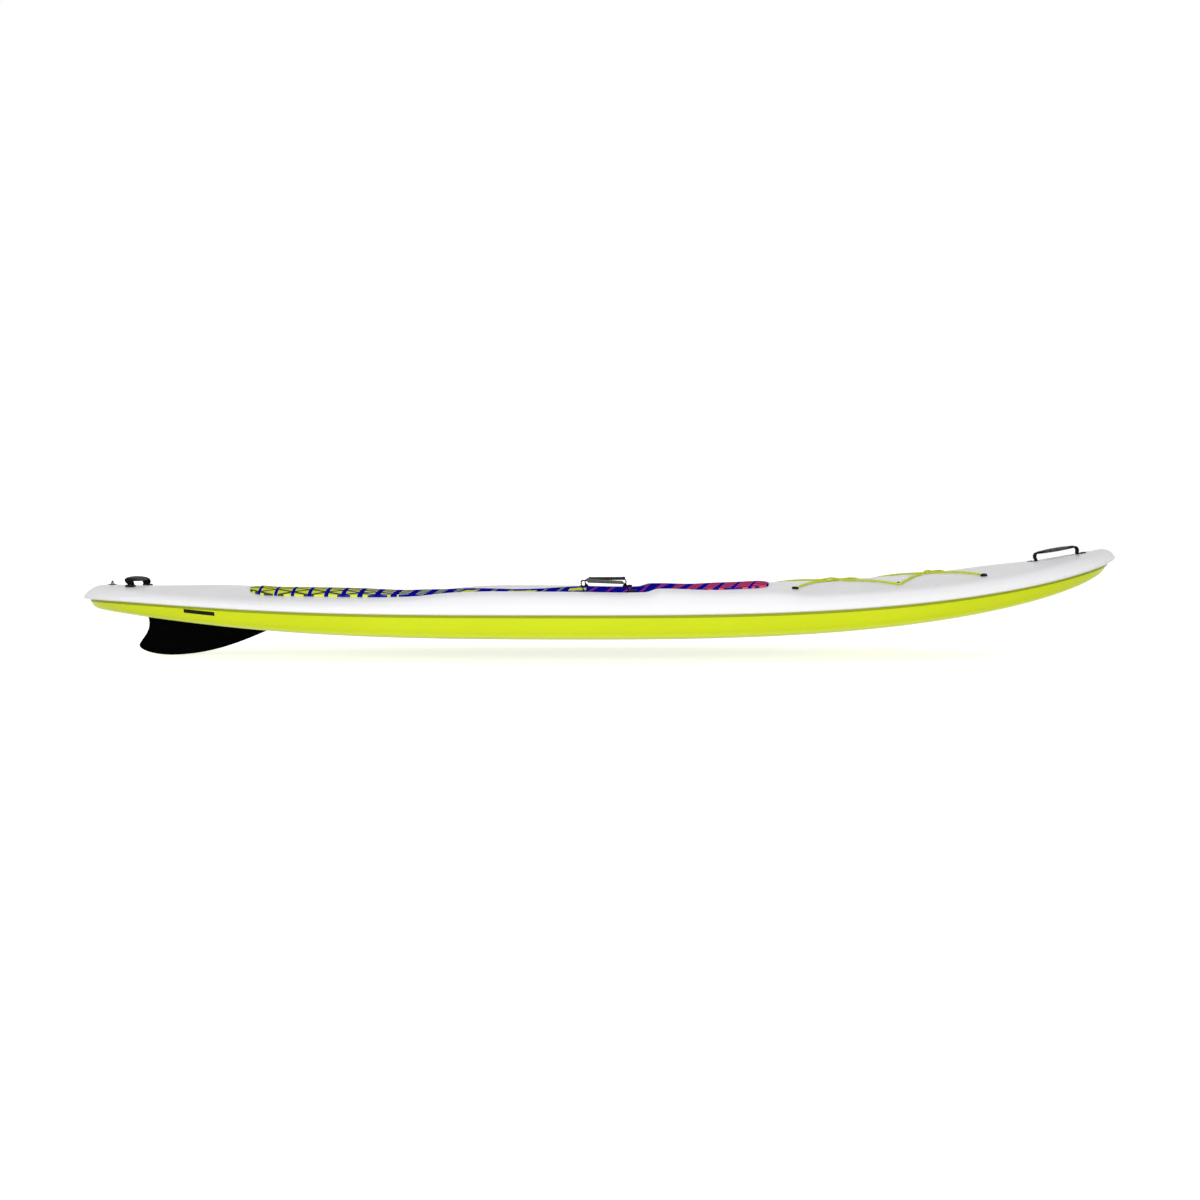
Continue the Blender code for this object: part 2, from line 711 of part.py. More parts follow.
# An anchor: a plate with a slot across it for the end of the webbing and a bore for the webbing's pin
def make_anchor(name, surface, parent, matrix, bolt, pivot):
    bm = block(ANCHOR_OUTER - ANCHOR_INNER, ANCHOR_WIDTH, 0.0, ANCHOR_HEIGHT)
    bevel_upright_edges(bm, 0.004)
    top_edges = [e for e in bm.edges if all(v.co.z > ANCHOR_HEIGHT - 1e-6 for v in e.verts)]
    bmesh.ops.bevel(bm, geom=top_edges, offset=0.0012, segments=1, profile=0.5, affect="EDGES", material=-1)
    anchor = finish_object(name, bm, surface, parent, matrix)
    slots = bmesh.new()
    for sign in (-1, 1):
        made = bmesh.ops.create_cube(slots, size=1.0)
        size = (WEB_THICKNESS + 2 * CHEEK_GAP, ANCHOR_WIDTH * 2, HOLE_REACH)
        middle = (sign * HANDLE_SPAN / 2, 0, HOLE_REACH / 2 - NECK_DROP - NECK_ROOM)
        place = Matrix.LocRotScale(Vector(middle), None, Vector(size))
        bmesh.ops.transform(slots, matrix=place, verts=made["verts"])
    boolean(anchor, cutter(name + "_slot", slots, parent, pivot), "DIFFERENCE")
    bore = PIVOT_RADIUS / math.cos(math.pi / CHEEK_SIDES) + PIVOT_CLEARANCE
    rods = pivot_rods(bore, PIVOT_REACH + CHEEK_GAP, CHEEK_SIDES)
    boolean(anchor, cutter(name + "_bore", rods, parent, pivot), "DIFFERENCE")
    hole = bmesh.new()
    add_rod(hole, DECK_SCREW[2] + HOLE_CLEARANCE, -HOLE_REACH, HOLE_REACH, Matrix())
    boolean(anchor, cutter(name + "_hole", hole, parent, bolt), "DIFFERENCE")
    return anchor


# One handle: two anchors screwed to the deck, and a webbing loop with its grip that swings between them
def make_handle(name, x, y, heading, ends, tree, lift, looks, parent, holes):
    middle = (ANCHOR_OUTER + ANCHOR_INNER) / 2
    length = ANCHOR_OUTER - ANCHOR_INNER
    ahead = Vector((math.cos(heading), math.sin(heading)))
    signs = (-1, 1)
    spots = [Vector((x, y)) + ahead * middle * sign for sign in signs]
    seats = [seat(tree, spot.x, spot.y, heading, length, ANCHOR_WIDTH, lift) for spot in spots]
    feet = [s @ Vector((sign * (HANDLE_SPAN / 2 - middle), 0, PIVOT_HEIGHT)) for s, sign in zip(seats, signs)]
    line = feet[1] - feet[0]
    up = seats[0].to_3x3().col[2] + seats[1].to_3x3().col[2]
    pivot = frame((feet[0] + feet[1]) / 2, line, square_to(up, line))
    for sign, end, place in zip(signs, ends, seats):
        bolt = place @ Matrix.Translation((sign * (ANCHOR_SCREW - middle), 0, 0))
        make_anchor(f"{name}_anchor_{end}", looks["moulding"], parent, place, bolt, pivot)
        head = bolt @ Matrix.Translation((0, 0, ANCHOR_HEIGHT + FIT_GAP))
        grip = ANCHOR_HEIGHT + lift + SHELL_WALL + SCREW_GRIP
        make_screw(f"{name}_screw_{end}", DECK_SCREW, grip, looks["steel"], parent, head)
        for group in holes:
            group.add(bolt, DECK_SCREW[2] + HOLE_CLEARANCE)
    swing = empty(name + "_pivot", parent, pivot)
    make_strap(name + "_strap", looks["webbing"], swing)
    make_grip(name + "_grip", looks["grip"], swing)
    return swing


def make_leash_eye(tree, looks, parent, holes):
    place = seat(tree, EYE_SETBACK - HALF_LENGTH, 0.0, 0.0, EYE_BASE_LENGTH, EYE_BASE_WIDTH)
    base = block(EYE_BASE_LENGTH, EYE_BASE_WIDTH, 0.0, EYE_BASE_HEIGHT)
    bevel_upright_edges(base, EYE_BASE_LENGTH * 0.42, 3)
    eye = finish_object("leash_eye", base, looks["moulding"], parent, place)
    radius = EYE_WIDTH / 2
    shank = EYE_HEIGHT - radius

    def arch(r, low):
        arc = [(r * math.cos(math.pi * k / 8), shank + r * math.sin(math.pi * k / 8)) for k in range(9)]
        return [(r, low)] + arc + [(-r, low)]

    outer = [(-EYE_THICKNESS / 2, y, z) for y, z in arch(radius, EYE_BASE_HEIGHT / 2)]
    inner = [(-EYE_THICKNESS, y, z) for y, z in arch(radius - EYE_WALL, EYE_BASE_HEIGHT + 0.0004)]
    loop = cutter("eye_loop", extrude_outline(outer, EYE_THICKNESS, (1, 0, 0)), parent, place)
    window = cutter("eye_window", extrude_outline(inner, EYE_THICKNESS * 2, (1, 0, 0)), parent, place)
    boolean(eye, loop, "UNION")
    boolean(eye, window, "DIFFERENCE")
    eye_holes = bmesh.new()
    for sign, end in ((-1, "starboard"), (1, "port")):
        spot = Matrix.Translation((0, sign * EYE_SCREW_SPACING / 2, 0))
        add_rod(eye_holes, SMALL_SCREW[2] + HOLE_CLEARANCE, -HOLE_REACH, HOLE_REACH, spot)
        head = place @ spot @ Matrix.Translation((0, 0, EYE_BASE_HEIGHT + FIT_GAP))
        grip = EYE_BASE_HEIGHT + SHELL_WALL + SCREW_GRIP
        make_screw(f"leash_eye_screw_{end}", SMALL_SCREW, grip, looks["steel"], parent, head)
        holes.add(place @ spot, SMALL_SCREW[2] + HOLE_CLEARANCE)
    boolean(eye, cutter("eye_holes", eye_holes, parent, place), "DIFFERENCE")
    return eye


def make_fitting(name, x, y, profile, tree, looks, parent, holes):
    widest = max(r for r, _ in profile)
    place = seat(tree, x, y, 0.0, 2 * widest, 2 * widest)
    body = finish_object(name, lathe(profile, 14), looks["moulding"], parent, place)
    hole = bmesh.new()
    add_rod(hole, SMALL_SCREW[2] + HOLE_CLEARANCE, -HOLE_REACH, HOLE_REACH, Matrix())
    boolean(body, cutter(name + "_hole", hole, parent, place), "DIFFERENCE")
    height = max(z for _, z in profile)
    head = place @ Matrix.Translation((0, 0, height + FIT_GAP))
    grip = height + SHELL_WALL + SCREW_GRIP
    make_screw(name + "_screw", SMALL_SCREW, grip, looks["steel"], parent, head)
    holes.add(place, SMALL_SCREW[2] + HOLE_CLEARANCE)


# Where a straight run from a point touches a circle, on the side away from the centreline
def tangent_point(start, centre, radius, outboard):
    gap = centre - start
    spread = math.acos(radius / gap.length)
    back = math.atan2(-gap.y, -gap.x)
    turns = [back + s * spread for s in (-1, 1)]
    options = [centre + radius * Vector((math.cos(turn), math.sin(turn))) for turn in turns]
    return max(options, key=lambda p: p.y * outboard)


# Plan of one cord: from the aft cap of one side, round the outside of the other side's hook, to the fore cap
def cord_plan(side):
    aft = Vector((BUNGEE_AFT[0], side * BUNGEE_AFT[1]))
    hook = Vector((BUNGEE_MID[0], -side * BUNGEE_MID[1]))
    fore = Vector((BUNGEE_FORE[0], side * BUNGEE_FORE[1]))
    radius = HOOK_RADIUS + FIT_GAP + CORD_RADIUS
    meet_in = tangent_point(aft, hook, radius, -side)
    meet_out = tangent_point(fore, hook, radius, -side)
    start = aft + (meet_in - aft).normalized() * (CAP_RADIUS + FIT_GAP)
    end = fore + (meet_out - fore).normalized() * (CAP_RADIUS + FIT_GAP)
    points = run_points(start, meet_in)
    angle_in = math.atan2(*(meet_in - hook).yx)
    angle_out = math.atan2(*(meet_out - hook).yx)
    turn = (angle_out - angle_in + math.pi) % (2 * math.pi) - math.pi
    for k in range(1, 8):
        angle = angle_in + turn * k / 8
        points.append(hook + radius * Vector((math.cos(angle), math.sin(angle))))
    return points + run_points(meet_out, end) + [end]


def run_points(start, end):
    count = math.ceil((end - start).length / CORD_STEP)
    return [start.lerp(end, k / count) for k in range(count)]


def make_cord(name, side, over, tree, surface, parent):
    curve = bpy.data.curves.new(name, "CURVE")
    curve.dimensions = "3D"
    curve.bevel_depth = CORD_RADIUS
    curve.bevel_resolution = 2
    curve.use_fill_caps = True
    plan = cord_plan(side)
    spline = curve.splines.new("POLY")
    spline.points.add(len(plan) - 1)
    hump = 2 * CORD_RADIUS + CORD_LIFT
    for point, spot in zip(spline.points, plan):
        deck, up = surface_at(tree, spot.x, spot.y)
        centre = deck + up * (CORD_RADIUS + CORD_LIFT)
        share = min(abs(spot.y) / CORD_CROSS_LENGTH, 1.0)
        if over:
            centre.z += hump * math.cos(math.pi / 2 * share) ** 2
        point.co = (*centre, 1.0)
    made = bpy.data.objects.new(name, curve)
    bpy.context.scene.collection.objects.link(made)
    made.parent = parent
    curve.materials.append(surface)
    return made


def make_bungee(tree, looks, parent, holes):
    cap = (
        (0.0, CAP_HEIGHT), (CAP_RADIUS * 0.55, CAP_HEIGHT), (CAP_RADIUS * 0.9, CAP_WALL_HEIGHT + 0.001),
        (CAP_RADIUS, CAP_WALL_HEIGHT), (CAP_RADIUS, 0.0), (0.0, 0.0),
    )
    hook = (
        (0.0, HOOK_HEIGHT), (HOOK_FLANGE_RADIUS * 0.6, HOOK_HEIGHT), (HOOK_FLANGE_RADIUS, HOOK_NECK_HEIGHT),
        (HOOK_RADIUS, HOOK_NECK_HEIGHT - 0.0006), (HOOK_RADIUS, 0.0), (0.0, 0.0),
    )
    for side, label in ((1, "port"), (-1, "starboard")):
        fittings = (
            ("bungee_cap_aft", BUNGEE_AFT, cap),
            ("bungee_hook", BUNGEE_MID, hook),
            ("bungee_cap_fore", BUNGEE_FORE, cap),
        )
        for name, (x, y), profile in fittings:
            make_fitting(f"{name}_{label}", x, side * y, profile, tree, looks, parent, holes)
        make_cord(f"bungee_cord_{label}", side, side > 0, tree, looks["cord"], parent)


# The box reaches ahead of the fin's front, so that a driver can reach the fin's screw
def box_front():
    return -HALF_LENGTH + FIN_SETBACK + FIN_BASE + BOX_LEAD


# The frame of the fin box's mouth: origin mid-slot, X forward along the keel, Z into the hull
def fin_frame(hull_tree):
    front = box_front()
    rear = front - BOX_LENGTH
    a = surface_at(hull_tree, rear, 0.0, from_below=True)[0]
    b = surface_at(hull_tree, front, 0.0, from_below=True)[0]
    ahead = b - a
    return frame((a + b) / 2, ahead, square_to(Vector((0, 0, 1)), ahead))


def make_fin_box(place, looks, parent, hull):
    length = BOX_LENGTH - 2 * BOX_END_WALL
    body = block(BOX_LENGTH, BOX_WIDTH, 0.0002, BOX_HEIGHT)
    box = finish_object("fin_box", body, looks["box"], parent, place)
    flange_low = SHELL_WALL + 0.0022
    flange = block(
        BOX_LENGTH + 2 * BOX_FLANGE, BOX_WIDTH + 2 * BOX_FLANGE, flange_low, flange_low + BOX_FLANGE_THICKNESS
    )
    boolean(box, cutter("box_flange", flange, parent, place), "UNION")
    slot = block(length, SLOT_WIDTH, -0.01, BOX_HEIGHT - BOX_ROOF)
    boolean(box, cutter("box_slot", slot, parent, place), "DIFFERENCE")
    track = block(length, TRACK_WIDTH, TRACK_LIFT, TRACK_LIFT + TRACK_HEIGHT)
    boolean(box, cutter("box_track", track, parent, place), "DIFFERENCE")
    mouth = block(BOX_LENGTH + 2 * FIT_GAP, BOX_WIDTH + 2 * FIT_GAP, -0.02, 0.02)
    boolean(hull, cutter("hull_box_mouth", mouth, parent, place), "DIFFERENCE")
    return box


def fin_curve(start, handles, end, steps):
    first, second = handles
    points = interpolate_bezier(
        Vector((*start, 0)), Vector((*first, 0)), Vector((*second, 0)), Vector((*end, 0)), steps
    )
    return [p.xy for p in points]


# The blade is a grid between its trailing and leading edges, thickest at the root
def fin_blade(hull_tree, pivot_inverse):
    rear_x = -HALF_LENGTH + FIN_SETBACK
    front_x = rear_x + FIN_BASE
    rear = surface_at(hull_tree, rear_x, 0.0, from_below=True)[0]
    front = surface_at(hull_tree, front_x, 0.0, from_below=True)[0]
    trailing = fin_curve(FIN_ROOT_REAR, FIN_TRAILING_HANDLES, FIN_TIP, 7)
    trailing += fin_curve(FIN_TIP, FIN_TIP_HANDLES, FIN_LOWEST, 5)[1:]
    leading = fin_curve(FIN_ROOT_FRONT, FIN_LEADING_HANDLES, FIN_LOWEST, len(trailing))
    columns = 14

    def place(p):
        x = rear_x + FIN_BASE * p.x
        return Vector((x, 0.0, rear.z + (front.z - rear.z) * p.x - FIN_DEPTH * p.y))

    bm = bmesh.new()
    sides = {1: [], -1: []}
    last = len(trailing) - 1
    for row, (t, l) in enumerate(zip(trailing, leading)):
        a = place(t)
        b = place(l)
        chord = (b - a).length
        thick = FIN_THICKNESS / 2 * (chord / FIN_BASE) ** 0.35
        for side in sides:
            line = []
            for k in range(columns + 1):
                u = k / columns
                point = a.lerp(b, u)
                if row == 0:
                    keel = surface_at(hull_tree, min(point.x, front_x), 0.0, from_below=True)[0]
                    point.z = keel.z - FIN_CLEARANCE
                point.y = side * thick * math.sin(math.pi * u) ** 0.6 if row < last else 0.0
                line.append(bm.verts.new(pivot_inverse @ point))
            sides[side].append(line)
    for side, lines in sides.items():
        for upper, lower in zip(lines, lines[1:]):
            for k in range(columns):
                corners = (upper[k], upper[k + 1], lower[k + 1], lower[k])
                bm.faces.new(corners if side > 0 else tuple(reversed(corners)))
    for k in range(columns):
        bm.faces.new((sides[1][0][k], sides[-1][0][k], sides[-1][0][k + 1], sides[1][0][k + 1]))
    bmesh.ops.remove_doubles(bm, verts=bm.verts, dist=1e-6)
    bmesh.ops.dissolve_degenerate(bm, dist=1e-6, edges=bm.edges)
    bmesh.ops.recalc_face_normals(bm, faces=bm.faces)
    return bm


def make_fin(hull_tree, place, looks, parent):
    slide = empty("fin_slide", parent, place)
    fin = finish_object("fin", fin_blade(hull_tree, place.inverted()), looks["fin"], slide)
    slot_roof = BOX_HEIGHT - BOX_ROOF
    tab_rear = -BOX_LENGTH / 2 + BOX_END_WALL + FIN_TRAVEL + FIT_GAP
    slot_front = BOX_LENGTH / 2 - BOX_END_WALL
    tongue_front = slot_front - FIN_TRAVEL - TONGUE_ROOM
    tongue_x = tongue_front - TONGUE_LENGTH
    tab_shift = Matrix.Translation(((tab_rear + tongue_x) / 2, 0, 0))
    tab = block(tongue_x - tab_rear, TAB_THICKNESS, -TAB_SINK, slot_roof - TAB_ROOF_GAP)
    bmesh.ops.transform(tab, matrix=tab_shift, verts=tab.verts)
    boolean(fin, cutter("fin_tab", tab, slide), "UNION")
    tongue = block(TONGUE_LENGTH + TONGUE_OVERLAP, TAB_THICKNESS, TONGUE_LIFT, TONGUE_LIFT + TONGUE_HEIGHT)
    tongue_middle = tongue_x + (TONGUE_LENGTH - TONGUE_OVERLAP) / 2
    bmesh.ops.translate(tongue, vec=(tongue_middle, 0, 0), verts=tongue.verts)
    boolean(fin, cutter("fin_tongue", tongue, slide), "UNION")
    screw_x = tongue_front - NUT_SETBACK - NUT_SIZE / 2
    track_middle = TRACK_LIFT + TRACK_HEIGHT / 2
    holes = bmesh.new()
    add_rod(holes, SMALL_SCREW[2] + HOLE_CLEARANCE, 0.0, HOLE_REACH, Matrix.Translation((screw_x, 0, 0)))
    pin_place = Matrix.Translation((tab_rear + PIN_SETBACK, 0, track_middle)) @ Matrix.Rotation(math.pi / 2, 4, "X")
    add_rod(holes, PIN_RADIUS + HOLE_CLEARANCE, -HOLE_REACH, HOLE_REACH, pin_place)
    boolean(fin, cutter("fin_holes", holes, slide), "DIFFERENCE")
    pin = bmesh.new()
    add_rod(pin, PIN_RADIUS, -PIN_LENGTH / 2, PIN_LENGTH / 2, Matrix())
    finish_object("fin_pin", pin, looks["steel"], slide, pin_place)
    nut = block(NUT_SIZE, NUT_SIZE, TRACK_LIFT + FIT_GAP, TRACK_LIFT + FIT_GAP + NUT_THICKNESS)
    nut_place = Matrix.Translation((screw_x, 0, 0))
    plate = finish_object("fin_plate_nut", nut, looks["brass"], slide, nut_place)
    nut_hole = bmesh.new()
    add_rod(nut_hole, SMALL_SCREW[2] + HOLE_CLEARANCE, 0, HOLE_REACH, Matrix())
    boolean(plate, cutter("nut_hole", nut_hole, slide, nut_place), "DIFFERENCE")
    under = Matrix.Translation((screw_x, 0, TONGUE_LIFT - FIT_GAP)) @ Matrix.Rotation(math.pi, 4, "X")
    turn = empty("fin_screw_turn", slide, under)
    grip = TRACK_LIFT + TRACK_HEIGHT - TONGUE_LIFT
    make_screw("fin_screw", SMALL_SCREW, grip, looks["steel"], turn, Matrix())
    return fin


def lowest_point(fin, board):
    to_board = board.matrix_world.inverted() @ fin.matrix_world
    return min((to_board @ v.co).z for v in fin.data.vertices)


def main():
    clear_scene()
    looks = {
        "deck": material("white_gloss_shell", (0.86, 0.86, 0.86), 0.28),
        "hull": material("chartreuse_shell", (0.67, 0.78, 0.02), 0.30),
        "pad": material("eva_foam", (0.03, 0.03, 0.30), 0.85),
        "foam": material("foam_core", (0.85, 0.85, 0.82), 0.90),
        "moulding": material("black_moulding", (0.012, 0.012, 0.012), 0.45),
        "webbing": material("black_webbing", (0.010, 0.010, 0.010), 0.85),
        "grip": material("black_rubber", (0.020, 0.019, 0.018), 0.60),
        "cord": material("chartreuse_cord", (0.70, 0.82, 0.06), 0.70),
        "steel": material("black_steel", (0.05, 0.05, 0.05), 0.40, 0.8),
        "brass": material("brass", (0.60, 0.42, 0.12), 0.35, 1.0),
        "box": material("fin_box_plastic", (0.02, 0.02, 0.02), 0.50),
        "fin": material("fin_plastic", (0.005, 0.005, 0.005), 0.35),
    }
    board = empty("board")
    deck_mesh = deck_surface()
    hull_mesh = hull_surface()
    deck_tree = BVHTree.FromBMesh(deck_mesh)
    hull_tree = BVHTree.FromBMesh(hull_mesh)
    pad = make_pad(deck_mesh, looks["pad"], board)
    deck = make_shell("deck_shell", deck_mesh, looks["deck"], board)
    hull = make_shell("hull_shell", hull_mesh, looks["hull"], board)
    make_foam(deck_tree, hull_tree, looks["foam"], board)
    deck_holes = Holes()
    pad_holes = Holes()
    ends = ("aft", "fore")
    bow_x = HALF_LENGTH - BOW_HANDLE_SETBACK
    make_handle("bow_handle", bow_x, 0.0, 0.0, ends, deck_tree, 0.0, looks, board, [deck_holes])
    ends = ("starboard", "port")
    across = math.pi / 2
    stern_x = STERN_HANDLE_SETBACK - HALF_LENGTH
    make_handle("stern_handle", stern_x, 0.0, across, ends, deck_tree, 0.0, looks, board, [deck_holes])
    ends = ("aft", "fore")
    pad_lift = PAD_THICKNESS + FIT_GAP
    for side, label in ((1, "port"), (-1, "starboard")):
        both = [deck_holes, pad_holes]
        y = side * (BOARD_WIDTH / 2 - SIDE_HANDLE_INSET)
        make_handle(label + "_handle", SIDE_HANDLE_X, y, 0.0, ends, deck_tree, pad_lift, looks, board, both)
    make_leash_eye(deck_tree, looks, board, deck_holes)
    make_bungee(deck_tree, looks, board, deck_holes)
    deck_holes.cut(deck, board)
    pad_holes.cut(pad, board)
    place = fin_frame(hull_tree)
    make_fin_box(place, looks, board, hull)
    fin = make_fin(hull_tree, place, looks, board)
    bpy.context.view_layer.update()
    board.location.z = -lowest_point(fin, board)


main()
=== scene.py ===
# Stand-up paddle board: the finish of its shells, pad, handles, bungee and fin.
# Metres, +X is the bow, +Y is port, +Z is up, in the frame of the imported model.
import json
from math import acos, atan, atan2, ceil, copysign, cos, hypot, pi, radians, sin, sqrt

import bmesh
import bpy
from mathutils import Matrix, Vector
from mathutils.bvhtree import BVHTree


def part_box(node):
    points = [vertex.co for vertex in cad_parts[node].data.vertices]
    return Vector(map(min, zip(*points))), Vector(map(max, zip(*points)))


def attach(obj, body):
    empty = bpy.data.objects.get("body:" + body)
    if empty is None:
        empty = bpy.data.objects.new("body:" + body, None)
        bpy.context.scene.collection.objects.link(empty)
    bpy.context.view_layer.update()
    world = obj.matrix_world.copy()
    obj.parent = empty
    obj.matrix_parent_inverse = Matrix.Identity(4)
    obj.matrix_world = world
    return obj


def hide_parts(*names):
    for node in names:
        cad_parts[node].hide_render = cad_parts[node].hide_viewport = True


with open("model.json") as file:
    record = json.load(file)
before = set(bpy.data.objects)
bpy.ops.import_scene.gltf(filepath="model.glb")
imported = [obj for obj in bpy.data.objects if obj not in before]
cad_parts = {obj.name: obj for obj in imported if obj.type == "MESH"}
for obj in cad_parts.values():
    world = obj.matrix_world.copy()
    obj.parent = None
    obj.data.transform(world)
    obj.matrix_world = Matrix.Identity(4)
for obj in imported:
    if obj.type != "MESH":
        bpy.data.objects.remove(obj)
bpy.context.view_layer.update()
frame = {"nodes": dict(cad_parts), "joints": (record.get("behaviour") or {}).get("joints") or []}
print("frame: loaded", len(frame["nodes"]), "nodes")


def makeObject(name, data):
    made = bpy.data.objects.new(name, data)
    bpy.context.scene.collection.objects.link(made)
    return made


def meshFrom(name, bm):
    mesh = bpy.data.meshes.new(name)
    bm.to_mesh(mesh)
    bm.free()
    return mesh


# Camera: level with the deck, a little above it
cameraSettings = {
    "distance": 3.9,
    "height": 0.326,
    "pitchDown": 2.28,  # degrees
    "lens": 37.71,
    "sensor": 36.0,
}


def makeCamera(settings):
    data = bpy.data.cameras.new("camera")
    data.lens = settings["lens"]
    data.sensor_width = settings["sensor"]
    camera = makeObject("camera", data)
    camera.location = (0.0, -settings["distance"], settings["height"])
    camera.rotation_euler = (radians(90.0 - settings["pitchDown"]), 0.0, 0.0)
    bpy.context.scene.camera = camera


makeCamera(cameraSettings)


# Small tools for shapes
def gridSurface(columns, rows, place):
    # A grid whose every vertex goes where its share along and its share across say
    bm = bmesh.new()
    bm.loops.layers.uv.new("UVMap")
    bmesh.ops.create_grid(bm, x_segments=columns, y_segments=rows, size=0.5, calc_uvs=True)
    for vert in bm.verts:
        vert.co = place(vert.co.x + 0.5, vert.co.y + 0.5)
    bmesh.ops.remove_doubles(bm, verts=bm.verts, dist=1e-5)
    bmesh.ops.dissolve_degenerate(bm, dist=1e-6, edges=bm.edges)
    return bm


def makePiece(name, bm, material, body, replaced=(), sharp=35.0):
    mesh = meshFrom(name, bm)
    mesh.shade_smooth()
    mesh.set_sharp_from_angle(angle=radians(sharp))
    piece = makeObject(name, mesh)
    mesh.materials.append(material)
    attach(piece, body)
    if replaced:
        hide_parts(*replaced)
    return piece


def placed(bm, matrix):
    bmesh.ops.transform(bm, matrix=matrix, verts=bm.verts)
    return bm


# Every face of a closed shape turned outwards
def facedOut(bm):
    bmesh.ops.recalc_face_normals(bm, faces=bm.faces)
    return bm


def bevelEdges(bm, edges, width, segments):
    bmesh.ops.bevel(
        bm, geom=edges, offset=width, segments=segments, profile=0.5, affect="EDGES", material=-1
    )


def blockAt(size, middle=(0, 0, 0)):
    bm = bmesh.new()
    bm.loops.layers.uv.new("UVMap")
    bmesh.ops.create_cube(bm, size=1.0)
    bmesh.ops.scale(bm, vec=size, verts=bm.verts)
    bmesh.ops.translate(bm, vec=middle, verts=bm.verts)
    return bm


# A plate that stands on its base, with rounded corners and a rounded upper rim
def roundedPlate(size, corner, cornerSteps, rim, rimSteps):
    bm = blockAt(size, (0, 0, size[2] / 2))
    upright = [e for e in bm.edges if abs((e.verts[0].co - e.verts[1].co).normalized().z) > 0.9]
    bevelEdges(bm, upright, corner, cornerSteps)
    upper = [e for e in bm.edges if all(v.co.z > size[2] - 1e-6 for v in e.verts)]
    bevelEdges(bm, upper, rim, rimSteps)
    return bm


def addSolidify(piece, thickness, offset, even=True):
    wall = piece.modifiers.new("wall", "SOLIDIFY")
    wall.thickness = thickness
    wall.offset = offset
    wall.use_even_offset = even


def applyModifiers(piece):
    depsgraph = bpy.context.evaluated_depsgraph_get()
    finished = bpy.data.meshes.new_from_object(piece.evaluated_get(depsgraph))
    piece.modifiers.clear()
    piece.data = finished


def signedPower(value, power):
    return copysign(abs(value) ** power, value)


def smoothStep(value):
    value = min(max(value, 0.0), 1.0)
    return value * value * (3.0 - 2.0 * value)


def mixValues(a, b, share):
    return a + (b - a) * share


# A smooth curve through a few points of any size, read at a share of its length in points
def throughPoints(points, share):
    spot = min(max(share, 0.0), 1.0) * (len(points) - 1)
    k = min(int(spot), len(points) - 2)
    t = spot - k
    p0, p1, p2, p3 = (points[min(max(i, 0), len(points) - 1)] for i in (k - 1, k, k + 1, k + 2))
    made = []
    for a, b, c, d in zip(p0, p1, p2, p3):
        curve = 2 * a - 5 * b + 4 * c - d
        cube = 3 * b - a - 3 * c + d
        made.append(0.5 * (2 * b + (c - a) * t + curve * t * t + cube * t**3))
    return made


# A smooth curve of height over place, read at one place
def readLine(line, place):
    place = min(max(place, line[0][0]), line[-1][0])
    last = len(line) - 1
    k = next(i for i in range(last) if place <= line[i + 1][0])
    slopes = []
    for i in (k, k + 1):
        before = line[max(i - 1, 0)]
        after = line[min(i + 1, last)]
        slopes.append((after[1] - before[1]) / (after[0] - before[0]))
    (x0, y0), (x1, y1) = line[k], line[k + 1]
    width = x1 - x0
    t = (place - x0) / width
    start = (1 + 2 * t) * (1 - t) ** 2 * y0 + t * (1 - t) ** 2 * width * slopes[0]
    return start + t * t * (3 - 2 * t) * y1 + t * t * (t - 1) * width * slopes[1]


def axesAt(origin, *axes):
    made = Matrix(axes).transposed().to_4x4()
    made.translation = origin
    return made


def frameOf(origin, along, up):
    z = up.normalized()
    x = (along - along.project(z)).normalized()
    return axesAt(origin, x, z.cross(x), z)


# The frame of a CAD node that stands on a flat base: origin in the middle of the base, Z out of it
def nodeFrame(node, along=Vector((1, 0, 0))):
    mesh = frame["nodes"][node].data
    up = Vector()
    for face in mesh.polygons:
        if face.normal.z < -0.8:
            up -= face.normal * face.area
    axes = frameOf(Vector(), along, up).to_3x3().transposed()
    middle = Vector()
    for k, axis in enumerate(axes):
        reach = [vert.co.dot(axis) for vert in mesh.vertices]
        low = min(reach)
        middle += axis * (low if k == 2 else (low + max(reach)) / 2)
    return frameOf(middle, along, up)


# Small tools for materials
def feed(tree, socket, value):
    if isinstance(value, bpy.types.NodeSocket):
        tree.links.new(value, socket)
    else:
        socket.default_value = value


def calc(tree, operation, *values):
    made = tree.nodes.new("ShaderNodeMath")
    made.operation = operation
    for socket, value in zip(made.inputs, values):
        feed(tree, socket, value)
    return made.outputs[0]


def mixColour(tree, share, first, second):
    made = tree.nodes.new("ShaderNodeMix")
    made.data_type = "RGBA"
    feed(tree, made.inputs[0], share)
    feed(tree, made.inputs[6], first)
    feed(tree, made.inputs[7], second)
    return made.outputs[2]


def remap(tree, value, low, high, toLow=0.0, toHigh=1.0, smooth=False):
    made = tree.nodes.new("ShaderNodeMapRange")
    made.interpolation_type = "SMOOTHSTEP" if smooth else "LINEAR"
    for k, part in enumerate((value, low, high, toLow, toHigh)):
        feed(tree, made.inputs[k], part)
    return made.outputs[0]


# A value that follows straight runs between (place, value) pairs
def ramp(tree, value, pairs):
    low, high = pairs[0][0], pairs[-1][0]
    top = max(pair[1] for pair in pairs)
    made = tree.nodes.new("ShaderNodeValToRGB")
    stops = made.color_ramp.elements
    while len(stops) < len(pairs):
        stops.new(0.5)
    for stop, (place, size) in zip(stops, pairs):
        stop.position = (place - low) / (high - low)
    for stop, (place, size) in zip(stops, pairs):
        stop.color = (size / top, size / top, size / top, 1.0)
    feed(tree, made.inputs[0], remap(tree, value, low, high))
    return calc(tree, "MULTIPLY", made.outputs[0], top)


